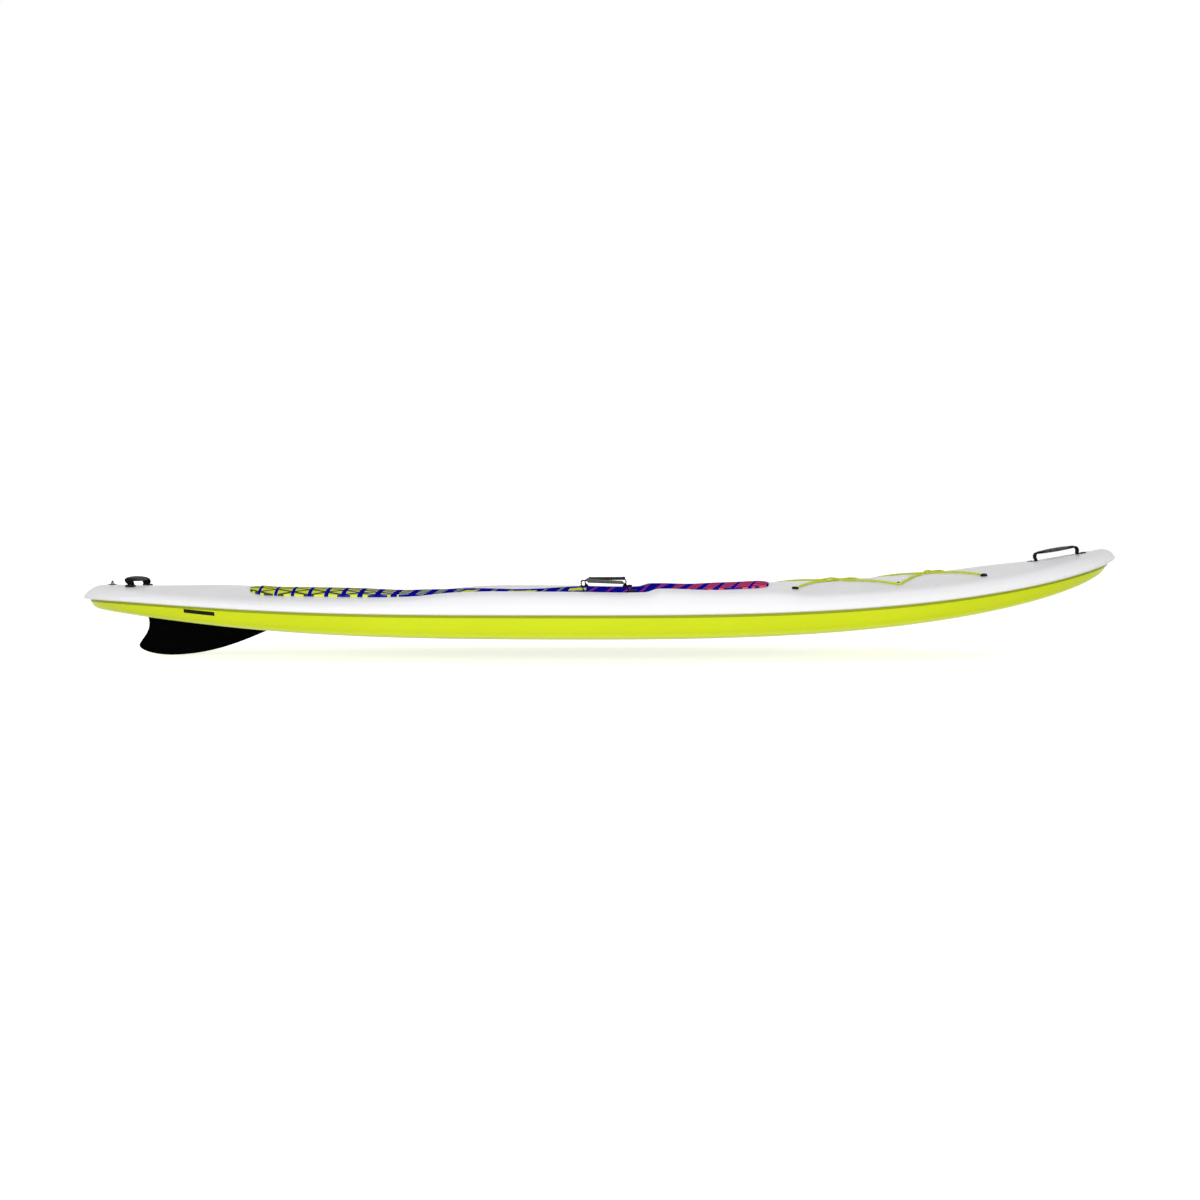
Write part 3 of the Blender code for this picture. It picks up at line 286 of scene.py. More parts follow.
def noise(tree, coords, scale, detail=2.0):
    made = tree.nodes.new("ShaderNodeTexNoise")
    made.inputs["Scale"].default_value = scale
    made.inputs["Detail"].default_value = detail
    tree.links.new(coords, made.inputs["Vector"])
    return made.outputs["Fac"]


def stretched(tree, coords, scale):
    made = tree.nodes.new("ShaderNodeMapping")
    made.inputs["Scale"].default_value = scale
    tree.links.new(coords, made.inputs["Vector"])
    return made.outputs[0]


def addBump(tree, shader, height, strength, distance):
    made = tree.nodes.new("ShaderNodeBump")
    made.inputs["Strength"].default_value = strength
    made.inputs["Distance"].default_value = distance
    tree.links.new(height, made.inputs["Height"])
    tree.links.new(made.outputs[0], shader.inputs["Normal"])


def newMaterial(name, roughness, metallic=0.0, specular=0.5):
    made = bpy.data.materials.new(name)
    made.use_nodes = True
    tree = made.node_tree
    shader = tree.nodes["Principled BSDF"]
    shader.inputs["Roughness"].default_value = roughness
    shader.inputs["Metallic"].default_value = metallic
    shader.inputs["Specular IOR Level"].default_value = specular
    return made, tree, shader, tree.nodes.new("ShaderNodeTexCoord").outputs


def splitParts(tree, socket):
    made = tree.nodes.new("ShaderNodeSeparateXYZ")
    tree.links.new(socket, made.inputs[0])
    return made.outputs


def rgb(red, green, blue):
    # A colour as it is read off a screen, 0 to 255
    shares = [c / 255 for c in (red, green, blue)]
    return (*[((c + 0.055) / 1.055) ** 2.4 if c > 10 / 255 else c / 12.92 for c in shares], 1.0)


# Sheet plastic with a faint ripple and the fine grain of moulded plastic
def sheetPlastic(name, settings):
    made, tree, shader, coords = newMaterial(name, settings["roughness"], specular=settings["specular"])
    place = coords["Object"]
    broad = noise(tree, place, settings["patch"], 3.0)
    share = remap(tree, broad, 0.35, 0.65)
    feed(tree, shader.inputs["Base Color"], mixColour(tree, share, settings["colour"], settings["shade"]))
    gloss = noise(tree, place, settings["patch"] * 6, 2.0)
    rough = settings["roughness"]
    feed(tree, shader.inputs["Roughness"], remap(tree, gloss, 0.3, 0.7, rough - 0.05, rough + 0.06))
    grain = noise(tree, place, settings["grain"], 2.0)
    addBump(tree, shader, grain, settings["grainStrength"], 0.0004)
    return made


whiteShell = sheetPlastic("whiteShell", {
    "colour": rgb(242, 242, 244), "shade": rgb(239, 239, 241), "roughness": 0.32, "specular": 0.15,
    "patch": 2.0, "grain": 700.0, "grainStrength": 0.06,
})
blackMoulding = sheetPlastic("blackMoulding", {
    "colour": rgb(6, 6, 6), "shade": rgb(11, 10, 10), "roughness": 0.45, "specular": 0.10,
    "patch": 60.0, "grain": 2200.0, "grainStrength": 0.35,
})
finPlastic = sheetPlastic("finPlastic", {
    "colour": rgb(1, 1, 1), "shade": rgb(2, 2, 2), "roughness": 0.50, "specular": 0.01,
    "patch": 14.0, "grain": 1500.0, "grainStrength": 0.20,
})

# The hull's colour carries painted shadow in the groove under the lip and painted light where its side turns
# under
hullLook = {
    "colour": rgb(210, 223, 33), "shade": rgb(207, 220, 30), "paintedLipShadow": rgb(150, 163, 4),
    "chine": rgb(236, 250, 86), "roughness": 0.32, "specular": 0.12,
    # Rows of painted shadow under the lip, then rows of painted light where the side turns under
    "paintedLipShadowRows": (0.158, 0.176),
    "chineRows": (0.42, 0.56),
    # A plain black strip on each side, aft: its middle, length, height and fall along its length
    "strip": (-1.155, 0.1462),
    "stripSize": (0.096, 0.0112),
    "stripFall": 0.087,
    "stripColour": rgb(5, 5, 5),
}


def hullMaterial(settings):
    made, tree, shader, coords = newMaterial(
        "chartreuseShell", settings["roughness"], specular=settings["specular"]
    )
    row = splitParts(tree, coords["UV"])[1]
    broad = noise(tree, coords["Object"], 2.5, 3.0)
    patches = remap(tree, broad, 0.35, 0.65)
    side = mixColour(tree, patches, settings["colour"], settings["shade"])
    # Painted light: the rows where the side turns under take a lighter colour, standing in for light bounced
    # up from the floor
    low = remap(tree, row, *settings["chineRows"], smooth=True)
    side = mixColour(tree, low, side, settings["chine"])
    # Painted shadow: the rows just under the lip take the darker olive colour in place of the lip's shadow
    clearOfLipShadow = remap(tree, row, *settings["paintedLipShadowRows"], smooth=True)
    side = mixColour(tree, clearOfLipShadow, settings["paintedLipShadow"], side)
    spot = splitParts(tree, coords["Object"])
    x = calc(tree, "SUBTRACT", spot[0], settings["strip"][0])
    z = calc(tree, "SUBTRACT", spot[2], settings["strip"][1])
    z = calc(tree, "ADD", z, calc(tree, "MULTIPLY", x, settings["stripFall"]))
    inside = 1.0
    for away, size in zip((x, z), settings["stripSize"]):
        near = calc(tree, "LESS_THAN", calc(tree, "ABSOLUTE", away), size / 2)
        inside = calc(tree, "MULTIPLY", inside, near)
    feed(tree, shader.inputs["Base Color"], mixColour(tree, inside, side, settings["stripColour"]))
    addBump(tree, shader, noise(tree, coords["Object"], 700.0), 0.06, 0.0004)
    return made


chartreuseShell = hullMaterial(hullLook)


# Foam pad: a blue lattice over foam that is chartreuse aft and coral forward
padPattern = {
    "fanFrom": 0.20,
    "fanReach": 3.95,
    "barPitch": 0.05266,
    "barOffset": 0.8473,
    "rowPitch": 0.12,
    "lineSteepness": 12.6,
    "blue": rgb(17, 16, 160),
    "chartreuse": rgb(224, 236, 82),
    "coral": rgb(232, 84, 98),
    "oliveLine": rgb(74, 71, 58),
    "purpleLine": rgb(40, 24, 140),
    # Where along the board the cells turn coral, and the lines blue and then purple
    "warmRange": (-0.10, -0.02),
    "blueRange": (-0.86, -0.60),
    "purpleRange": (0.12, 0.34),
    # Half widths of the bars and of the slanting lines, by place along the board
    "bars": (
        (-1.05, 0.0042), (-1.00, 0.0045), (-0.84, 0.0060), (-0.73, 0.0077), (-0.63, 0.0095), (-0.577, 0.0110),
        (-0.52, 0.0125), (-0.42, 0.0175), (-0.30, 0.0210), (0.10, 0.0210), (0.18, 0.0175), (0.27, 0.0105),
        (0.324, 0.0095), (0.38, 0.0070), (0.44, 0.0050), (0.52, 0.0040),
    ),
    "lines": (
        (-1.05, 0.0075), (-0.90, 0.0085), (-0.70, 0.0105), (-0.50, 0.0125), (-0.35, 0.0135), (0.15, 0.0130),
        (0.30, 0.0085), (0.45, 0.0075), (0.52, 0.0070),
    ),
    # Plain blocks amidships: from, to, half width
    "blocks": ((-0.425, -0.388, 0.10), (-0.295, -0.202, 0.16), (-0.096, -0.043, 0.12)),
}


def padMaterial(settings):
    made, tree, shader, coords = newMaterial("padFoam", 0.85, specular=0.0)
    x, y, _ = splitParts(tree, coords["Object"])
    spread = calc(tree, "ADD", calc(tree, "DIVIDE", y, settings["fanReach"]), 1.0)
    fan = calc(tree, "DIVIDE", calc(tree, "ADD", x, settings["fanFrom"]), spread)
    bars = calc(tree, "DIVIDE", calc(tree, "ADD", fan, settings["barOffset"]), settings["barPitch"])
    barGap = calc(tree, "MULTIPLY", calc(tree, "PINGPONG", bars, 0.5), settings["barPitch"])
    isBar = calc(tree, "LESS_THAN", barGap, ramp(tree, x, settings["bars"]))
    isLine = 0.0
    half = calc(tree, "ADD", calc(tree, "MULTIPLY", bars, 0.5), 0.5)
    rows = calc(tree, "DIVIDE", y, settings["rowPitch"])
    wide = ramp(tree, x, settings["lines"])
    for operation in ("ADD", "SUBTRACT"):
        slant = calc(tree, "PINGPONG", calc(tree, operation, half, rows), 0.5)
        away = calc(tree, "DIVIDE", slant, settings["lineSteepness"])
        isLine = calc(tree, "MAXIMUM", isLine, calc(tree, "LESS_THAN", away, wide))
    warm = remap(tree, x, *settings["warmRange"])
    cells = mixColour(tree, warm, settings["chartreuse"], settings["coral"])
    blue = remap(tree, x, *settings["blueRange"])
    lines = mixColour(tree, blue, settings["oliveLine"], settings["blue"])
    purple = remap(tree, x, *settings["purpleRange"])
    lines = mixColour(tree, purple, lines, settings["purpleLine"])
    whole = mixColour(tree, isBar, mixColour(tree, isLine, cells, lines), settings["blue"])
    for start, end, reach in settings["blocks"]:
        away = calc(tree, "ABSOLUTE", calc(tree, "SUBTRACT", x, (start + end) / 2))
        inside = calc(tree, "LESS_THAN", away, (end - start) / 2)
        inside = calc(tree, "MULTIPLY", inside, calc(tree, "LESS_THAN", calc(tree, "ABSOLUTE", y), reach))
        whole = mixColour(tree, inside, whole, settings["chartreuse"])
    feed(tree, shader.inputs["Base Color"], whole)
    grain = calc(tree, "MULTIPLY", noise(tree, coords["Object"], 900.0, 3.0), 0.35)
    cut = calc(tree, "MULTIPLY", calc(tree, "MAXIMUM", isBar, isLine), 0.4)
    relief = calc(tree, "SUBTRACT", grain, cut)
    addBump(tree, shader, relief, 0.15, 0.0010)
    return made


padFoam = padMaterial(padPattern)


# Webbing and cord: the pattern follows the piece's own UV map, in metres along and turns round
def wovenMaterial(name, settings):
    made, tree, shader, coords = newMaterial(name, settings["roughness"], specular=0.10)
    parts = splitParts(tree, coords["UV"])
    along = calc(tree, "MULTIPLY", parts[0], settings["alongCount"] * 2 * pi)
    around = calc(tree, "MULTIPLY", parts[1], settings["aroundCount"] * 2 * pi)
    first = calc(tree, "SINE", calc(tree, "ADD", along, around))
    second = calc(tree, "SINE", calc(tree, "SUBTRACT", along, around))
    weave = calc(tree, "MULTIPLY", first, second)
    share = remap(tree, weave, -0.8, 0.2)
    feed(tree, shader.inputs["Base Color"], mixColour(tree, share, settings["shade"], settings["colour"]))
    addBump(tree, shader, weave, settings["relief"], 0.0005)
    return made


blackWebbing = wovenMaterial("blackWebbing", {
    "colour": rgb(15, 15, 14), "shade": rgb(5, 5, 5), "roughness": 0.80, "relief": 0.7,
    "alongCount": 90.0, "aroundCount": 22.0,
})
chartreuseCord = wovenMaterial("chartreuseCord", {
    "colour": rgb(222, 234, 60), "shade": rgb(176, 188, 30), "roughness": 0.68, "relief": 0.5,
    "alongCount": 150.0, "aroundCount": 4.0,
})
rubberGrain = {"patch": 90.0, "grain": 1800.0, "grainStrength": 0.45}
ribbedRubber = sheetPlastic("ribbedRubber", {
    "colour": rgb(20, 19, 16), "shade": rgb(36, 34, 31), "roughness": 0.55, "specular": 0.25, **rubberGrain,
})
# The two rubbers below are the dark ribbed rubber with painted light: a lighter copy for the bow grip and a
# paler one for the starboard grip, which faces the key lamp
paintedHalfLitRubber = sheetPlastic("paintedHalfLitRubber", {
    "colour": rgb(44, 41, 40), "shade": rgb(68, 64, 62), "roughness": 0.50, "specular": 0.30, **rubberGrain,
})
paintedLitRubber = sheetPlastic("paintedLitRubber", {
    "colour": rgb(88, 85, 80), "shade": rgb(70, 67, 62), "roughness": 0.55, "specular": 0.25, **rubberGrain,
})
print("materials: done")


# The board's form, from the same driving sizes as its solids
boardForm = {
    "length": 3.18,
    "width": 0.81,
    "widePoint": 0.05,
    "bowPower": 2.4,
    "bowFineness": 0.55,
    "sternPower": 2.3,
    "sternFineness": 0.45,
    "lowPoint": -0.15,
    "noseRocker": 0.153,
    "noseRockerPower": 3.17,
    "tailRocker": 0.0345,
    "tailRockerPower": 1.8,
    "hullDepth": 0.0700,
    "keelDrop": 0.004,
    "bowTaper": 0.40,
    "bowEndPower": 12.0,
    "bowEndRound": 0.3,
    "sternTaper": 0.585,
    "sternTaperPower": 2.5,
    "deckRise": 0.070,
    "deckCrown": 0.030,
    "shoulderInset": 0.078,
    "noseRake": 0.020,
    "tailRake": 0.025,
    "wall": 0.003,
    "lipOverhang": 0.010,
    "noseOverhang": 0.019,
    "tailOverhang": 0.019,
    "lipBulge": 0.005,
    "noseBulge": 0.0117,
    "rimRise": 0.012,
    "fitGap": 0.0003,
    "endGap": 0.0006,
    "skeletonStart": 1.25,
    "skeletonShare": 0.4,
    "recessEdge": 0.16,
    "grooveDepth": 0.0003,
    "grooveHeight": 0.0062,
    # Height of the shoulder over the lip, in shares of deckRise, at shares of the half length
    "shoulderLine": (
        (-1.00, 0.72), (-0.97, 0.65), (-0.90, 0.55), (-0.75, 0.50), (-0.60, 0.51), (-0.40, 0.635),
        (-0.33, 0.735), (-0.27, 0.88), (-0.21, 0.94), (-0.14, 0.94), (-0.10, 0.935), (-0.05, 0.93),
        (0.08, 0.905), (0.105, 1.045), (0.20, 0.965), (0.29, 0.95), (0.32, 0.92), (0.37, 0.77), (0.46, 0.73),
        (0.55, 0.71), (0.62, 0.69), (0.81, 0.675), (0.86, 0.67), (0.93, 0.65), (0.96, 0.64), (0.98, 0.72),
        (1.00, 0.80),
    ),
    # Height of the centreline over the shoulder, in shares of deckCrown
    "crownLine": (
        (-1.00, 0.00), (-0.90, 0.15), (-0.82, 0.40), (-0.72, 0.71), (-0.64, 0.54), (-0.60, 0.58),
        (-0.49, 0.50), (-0.40, 0.15), (-0.33, -0.11), (-0.19, -0.63), (-0.13, -0.57), (-0.09, -0.42),
        (-0.04, -0.24), (0.00, -0.23), (0.12, -0.23), (0.20, -0.10), (0.31, 0.27), (0.34, 0.45),
        (0.38, 0.72), (0.46, 0.60), (0.55, 0.68), (0.67, 0.61), (0.73, 0.61), (0.78, 0.55),
        (0.83, 0.34), (0.86, 0.16), (0.91, 0.10), (0.94, 0.10), (1.00, 0.08),
    ),
    # Rounded side of the deck: share of the inset, share of the rise
    "deckSide": ((0.0, 0.0), (0.02, 0.25), (0.09, 0.50), (0.26, 0.78), (0.54, 0.93), (1.00, 1.00)),
    # Side of the hull under the groove: inset, share of the depth
    "hullSide": ((0.0, 0.09), (0.003, 0.35), (0.010, 0.70), (0.022, 0.90), (0.045, 1.00)),
}
halfLength = boardForm["length"] / 2
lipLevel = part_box("deck_shell")[0].z


def halfWidth(x):
    form = boardForm
    if x >= form["widePoint"]:
        t = (x - form["widePoint"]) / (halfLength - form["widePoint"])
        return form["width"] / 2 * max(1 - t ** form["bowPower"], 0.0) ** form["bowFineness"]
    t = (form["widePoint"] - x) / (halfLength + form["widePoint"])
    return form["width"] / 2 * max(1 - t ** form["sternPower"], 0.0) ** form["sternFineness"]


def lipHeight(x):
    form = boardForm
    if x >= form["lowPoint"]:
        t = (x - form["lowPoint"]) / (halfLength - form["lowPoint"])
        return lipLevel + form["noseRocker"] * t ** form["noseRockerPower"]
    t = min((form["lowPoint"] - x) / (halfLength + form["lowPoint"]), 1.0)
    return lipLevel + form["tailRocker"] * sin(pi / 2 * t ** form["tailRockerPower"]) ** 2


def endShare(x):
    return smoothStep((abs(x) - 0.8 * halfLength) / (0.2 * halfLength))


def towardsEnd(x, side, nose, tail):
    return side + (nose - side if x > 0 else tail - side) * endShare(x)


def lipOverhang(x):
    return towardsEnd(x, boardForm["lipOverhang"], boardForm["noseOverhang"], boardForm["tailOverhang"])


def lipBulge(x):
    return towardsEnd(x, boardForm["lipBulge"], boardForm["noseBulge"], boardForm["lipBulge"])


def hullInset(x):
    lean = lipBulge(x) / hypot(lipBulge(x), lipOverhang(x))
    gap = boardForm["fitGap"] + boardForm["endGap"] * endShare(x)
    return lipOverhang(x) + boardForm["wall"] * lean + gap


def hullDepth(x):
    form = boardForm
    if x >= 0:
        t = min(x / (halfLength - form["noseOverhang"]), 1.0)
        end = (1 - t ** form["bowEndPower"]) ** form["bowEndRound"]
        return form["hullDepth"] * (1 - form["bowTaper"] * t * t) * end
    t = min(-x / (halfLength - form["tailOverhang"]), 1.0)
    return form["hullDepth"] * (1 - form["sternTaper"] * t ** form["sternTaperPower"])


def shoulderRise(x):
    return boardForm["deckRise"] * readLine(boardForm["shoulderLine"], x / halfLength)


def crownHeight(x, share):
    height = boardForm["deckCrown"] * readLine(boardForm["crownLine"], x / halfLength)
    if height > 0:
        return height * (1 - (1 - share**1.4) ** 4)
    return height * smoothStep(share / boardForm["recessEdge"])


# The outline as a loop of points, closer together round the two ends
loopSettings = {"endCap": 0.35, "endSteps": 26, "middleSteps": 250}


def outlineLoop(settings):
    steps, cap = settings["endSteps"], settings["endCap"]
    ends = [halfLength - cap * (k / steps) ** 2 for k in range(steps + 1)]
    span = 2 * (halfLength - cap)
    middle = [ends[-1] - span * k / settings["middleSteps"] for k in range(1, settings["middleSteps"])]
    stations = ends + middle + [-x for x in reversed(ends)]
    port = [Vector((x, halfWidth(x))) for x in stations]
    return port + [Vector((p.x, -p.y)) for p in reversed(port[1:-1])]


loopPoints = outlineLoop(loopSettings)
loopNormals = []
for k, spot in enumerate(loopPoints):
    along = loopPoints[(k + 1) % len(loopPoints)] - loopPoints[k - 1]
    loopNormals.append(Vector((-along.y, along.x)).normalized())


def insetPoint(index, distance):
    return loopPoints[index] + loopNormals[index] * distance


def skeletonPoint(point):
    reach = abs(point.x)
    if reach > boardForm["skeletonStart"]:
        reach = mixValues(boardForm["skeletonStart"], reach, boardForm["skeletonShare"])
    return Vector((copysign(reach, point.x), 0.0))


# Rows of the deck from the lip's lower edge, round the lip, up the side and over the crown
deckRows = {"lip": 5, "side": 20, "crown": 24}


def deckPlace(along, across):
    index = round(along * len(loopPoints)) % len(loopPoints)
    row = round(across * sum(deckRows.values()))
    x = loopPoints[index].x
    if row <= deckRows["lip"]:
        share = row / deckRows["lip"]
        spot = insetPoint(index, lipOverhang(x) * (1 - sin(share * pi / 2) ** 1.2))
        return Vector((*spot, lipHeight(spot.x) + lipBulge(x) * (1 - cos(share * pi / 2)) ** 0.8))
    row -= deckRows["lip"]
    sideShare = min(row / deckRows["side"], 1.0)
    insetShare, riseShare = throughPoints(boardForm["deckSide"], sideShare)
    rake = towardsEnd(x, 0.0, boardForm["noseRake"], boardForm["tailRake"])
    distance = boardForm["shoulderInset"] * insetShare * (1 - 0.3 * endShare(x)) + rake * riseShare
    spot = insetPoint(index, distance)
    if row <= deckRows["side"]:
        bulge = lipBulge(spot.x)
        return Vector((*spot, lipHeight(spot.x) + mixValues(bulge, shoulderRise(spot.x), riseShare)))
    share = ((row - deckRows["side"]) / deckRows["crown"]) ** 1.5
    inner = spot.lerp(skeletonPoint(spot), share)
    height = shoulderRise(inner.x) + crownHeight(inner.x, share)
    return Vector((*inner, lipHeight(inner.x) + height))


# Rows of the hull from its rim behind the lip, over the seam groove, down the side and in to the keel
hullRows = {"rim": 6, "side": 20, "bottom": 12}


def hullPlace(along, across):
    index = round(along * len(loopPoints)) % len(loopPoints)
    row = round(across * sum(hullRows.values()))
    x = loopPoints[index].x
    groove, tall = boardForm["grooveDepth"], boardForm["grooveHeight"]
    edge = (
        (0.0, boardForm["rimRise"]), (0.0, 0.0010), (groove, 0.0), (groove, -tall + 0.0015),
        (groove * 0.6, -tall + 0.0004), (0.0006, -tall),
    )
    if row < hullRows["rim"]:
        extra, height = edge[row]
        spot = insetPoint(index, hullInset(x) + extra)
        return Vector((*spot, lipHeight(spot.x) + height))
    row -= hullRows["rim"]
    extra, depthShare = throughPoints(boardForm["hullSide"], min(row / hullRows["side"], 1.0))
    spot = insetPoint(index, hullInset(x) + extra)
    if row <= hullRows["side"]:
        return Vector((*spot, lipHeight(spot.x) - max(hullDepth(spot.x) * depthShare, tall + 0.0002)))
    share = (row - hullRows["side"]) / hullRows["bottom"]
    inner = spot.lerp(skeletonPoint(spot), share)
    keel = boardForm["keelDrop"] * (1 - (inner.x / halfLength) ** 2) * share
    return Vector((*inner, lipHeight(inner.x) - hullDepth(inner.x) - keel))


deckSkin = facedOut(gridSurface(len(loopPoints), sum(deckRows.values()), deckPlace))
hullSkin = facedOut(gridSurface(len(loopPoints), sum(hullRows.values()), hullPlace))


def turnOutwards(bm, wantUp):
    # An open skin has no inside of its own, so one face near its middle says which way it points
    middle = min(bm.faces, key=lambda face: face.calc_center_median().xy.length)
    if (middle.normal.z > 0) != wantUp:
        bmesh.ops.reverse_faces(bm, faces=bm.faces)


deckSkin.normal_update()
hullSkin.normal_update()
turnOutwards(deckSkin, True)
turnOutwards(hullSkin, False)
deckTree = BVHTree.FromBMesh(deckSkin)


def deckAt(x, y):
    point, normal, _, _ = deckTree.ray_cast(Vector((x, y, 1.0)), Vector((0, 0, -1)))
    return point, (normal if normal.z > 0 else -normal)


deckShell = makePiece("deckShell", deckSkin, whiteShell, "board", ["deck_shell"])
addSolidify(deckShell, boardForm["wall"], -1, even=False)
hullShell = makePiece("hullShell", hullSkin, chartreuseShell, "board", ["hull_shell"])
addSolidify(hullShell, boardForm["wall"], -1, even=False)


# The mouth of the fin box is cut out of the hull
boxMouthSize = (0.3126, 0.0246, 0.03)


def cutBoxMouth():
    block = placed(blockAt(boxMouthSize), nodeFrame("fin_box"))
    cutter = makeObject("boxMouth", meshFrom("boxMouth", block))
    cut = hullShell.modifiers.new("mouth", "BOOLEAN")
    cut.operation = "DIFFERENCE"
    cut.solver = "EXACT"
    cut.object = cutter
    bpy.context.view_layer.update()
    applyModifiers(hullShell)
    bpy.data.objects.remove(cutter)


cutBoxMouth()
print("shells: done")


# Foam pad: one sheet over the standing area, with rounded aft corners and an arched fore edge
padShape = {
    "aft": -1.066,
    "fore": 0.515,
    "margin": 0.120,
    "aftCorner": 0.110,
    "aftPower": 2.5,
    "foreCorner": 0.055,
    "frontArch": 0.040,
    "thickness": 0.005,
    "columns": 260,
    "rows": 96,
}


def padHalfWidth(x, settings):
    side = halfWidth(x) - settings["margin"]
    into = settings["aft"] + settings["aftCorner"] - x
    if into > 0:
        share = min(into / settings["aftCorner"], 1.0)
        return side * (1 - share ** settings["aftPower"]) ** (1 / settings["aftPower"])
    into = x - (settings["fore"] - settings["frontArch"] - settings["foreCorner"])
    if into > 0:
        share = min(into / settings["foreCorner"], 1.0)
        return side - settings["foreCorner"] * (1 - sqrt(1 - share * share))
    return side


def padPlace(along, across):
    settings = padShape
    straight = settings["fore"] - settings["frontArch"]
    share = (1 - cos(along * pi)) / 2
    share = mixValues(along, share, 0.5)
    x = mixValues(settings["aft"], straight, share)
    wide = padHalfWidth(x, settings)
    y = (across * 2 - 1) * wide
    arch = settings["frontArch"] * (1 - (y / (halfWidth(x) - settings["margin"])) ** 2)
    x += arch * smoothStep((share - 0.8) / 0.2)
    return deckAt(x, y)[0] + Vector((0, 0, settings["thickness"] + boardForm["fitGap"]))


padSkin = gridSurface(padShape["columns"], padShape["rows"], padPlace)
padSkin.normal_update()
turnOutwards(padSkin, True)
deckPad = makePiece("deckPad", padSkin, padFoam, "board", ["deck_pad"])
addSolidify(deckPad, padShape["thickness"], -1, even=False)
bevel = deckPad.modifiers.new("edge", "BEVEL")
bevel.width = 0.0018
bevel.segments = 2
bevel.limit_method = "ANGLE"
bevel.angle_limit = radians(50)
print("pad: done")


# Round fittings are turned from a profile of (radius, height)
def turned(profile, steps=40):
    bm = bmesh.new()
    bm.loops.layers.uv.new("UVMap")
    verts = [bm.verts.new((r, 0.0, z)) for r, z in profile]
    edges = [bm.edges.new(pair) for pair in zip(verts, verts[1:])]
    bmesh.ops.spin(
        bm, geom=verts + edges, cent=(0, 0, 0), axis=(0, 0, 1), angle=2 * pi, steps=steps, use_merge=True
    )
    bmesh.ops.remove_doubles(bm, verts=bm.verts, dist=1e-6)
    return facedOut(bm)


# Pan head screw with a round recess, standing where its CAD node stands
def panScrew(node, head, height, shank, sunk):
    place = nodeFrame(node)
    reach = [vert.co.dot(place.col[2].xyz) for vert in frame["nodes"][node].data.vertices]
    tall = max(reach) - min(reach) - sunk
    under = tall - height
    profile = (
        (0.0, tall - height * 0.55), (head * 0.34, tall - height * 0.55), (head * 0.40, tall),
        (head * 0.72, tall - height * 0.08), (head * 0.93, tall - height * 0.45), (head, under),
        (shank, under), (shank, 0.0006), (shank * 0.6, 0.0), (0.0, 0.0),
    )
    screw = placed(turned(profile, 24), place)
    return makePiece(node + "_turned", screw, blackSteel, "board", [node])


# Blackened steel
steelLook = {"colour": rgb(26, 26, 27), "roughness": 0.42}


def steelMaterial(settings):
    made, tree, shader, coords = newMaterial("blackSteel", settings["roughness"], 0.9)
    shader.inputs["Base Color"].default_value = settings["colour"]
    scratch = noise(tree, stretched(tree, coords["Object"], (1.0, 6.0, 1.0)), 900.0, 3.0)
    rough = settings["roughness"]
    feed(tree, shader.inputs["Roughness"], remap(tree, scratch, 0.3, 0.7, rough - 0.08, rough + 0.12))
    addBump(tree, shader, scratch, 0.15, 0.0002)
    return made


blackSteel = steelMaterial(steelLook)

bungeeFittings = {
    "capRadius": 0.0100,
    "capHeight": 0.0076,
    "hookRadius": 0.0042,
    "hookFlange": 0.0052,
    "hookNeck": 0.0070,
    "hookHeight": 0.0094,
    "cordRadius": 0.003,
    "cordLift": 0.0006,
}
smallScrew = {"head": 0.0032, "height": 0.0014, "shank": 0.0016, "sunk": 0.0009}
deckScrew = {"head": 0.0043, "height": 0.0024, "shank": 0.0021, "sunk": 0.0019}


def bungeeCap(node):
    r, h = bungeeFittings["capRadius"], bungeeFittings["capHeight"]
    profile = [(0.0022, h * 0.97)]
    for k in range(9):
        turn = pi / 2 * k / 8
        profile.append((r * (0.50 + 0.48 * sin(turn)), h * (0.42 + 0.58 * cos(turn) ** 0.8)))
    profile += [(r, h * 0.30), (r, 0.0003), (r * 0.97, 0.0), (0.0022, 0.0), (0.0022, h * 0.97)]
    dome = placed(turned(profile), nodeFrame(node))
    return makePiece(node + "_dome", dome, blackMoulding, "board", [node])


def bungeeHook(node):
    r, flange = bungeeFittings["hookRadius"], bungeeFittings["hookFlange"]
    neck, h = bungeeFittings["hookNeck"], bungeeFittings["hookHeight"]
    profile = (
        (0.0022, h), (flange * 0.62, h), (flange * 0.88, h - 0.0006), (flange, h - 0.0014),
        (flange, neck + 0.0004), (flange * 0.95, neck), (r, neck - 0.0008), (r * 0.94, neck * 0.5),
        (r, 0.0012), (r * 1.1, 0.0), (0.0022, 0.0), (0.0022, h),
    )
    post = placed(turned(profile), nodeFrame(node))
    return makePiece(node + "_post", post, blackMoulding, "board", [node])


for side in ("port", "starboard"):
    bungeeCap("bungee_cap_aft_" + side)
    bungeeCap("bungee_cap_fore_" + side)
    bungeeHook("bungee_hook_" + side)
    for fitting in ("bungee_cap_aft_", "bungee_cap_fore_", "bungee_hook_"):
        panScrew(fitting + side + "_screw", **smallScrew)


# Bungee cords: each from an aft cap round the other side's hook and back to its own side's fore cap
cordRoute = {
    "aft": (0.567, 0.250),
    "middle": (0.871, 0.232),
    "fore": (1.130, 0.200),
    "step": 0.008,
    "crossing": 0.060,  # half length of the hump where one cord passes over the other
}


def tangentPoint(start, centre, radius, outboard):
    gap = centre - start
    spread = acos(radius / gap.length)
    back = atan2(-gap.y, -gap.x)
    turns = [back + s * spread for s in (-1, 1)]
    options = [centre + radius * Vector((cos(turn), sin(turn))) for turn in turns]
    return max(options, key=lambda p: p.y * outboard)


def straightRun(start, end, step):
    count = ceil((end - start).length / step)
    return [start.lerp(end, k / count) for k in range(count)]


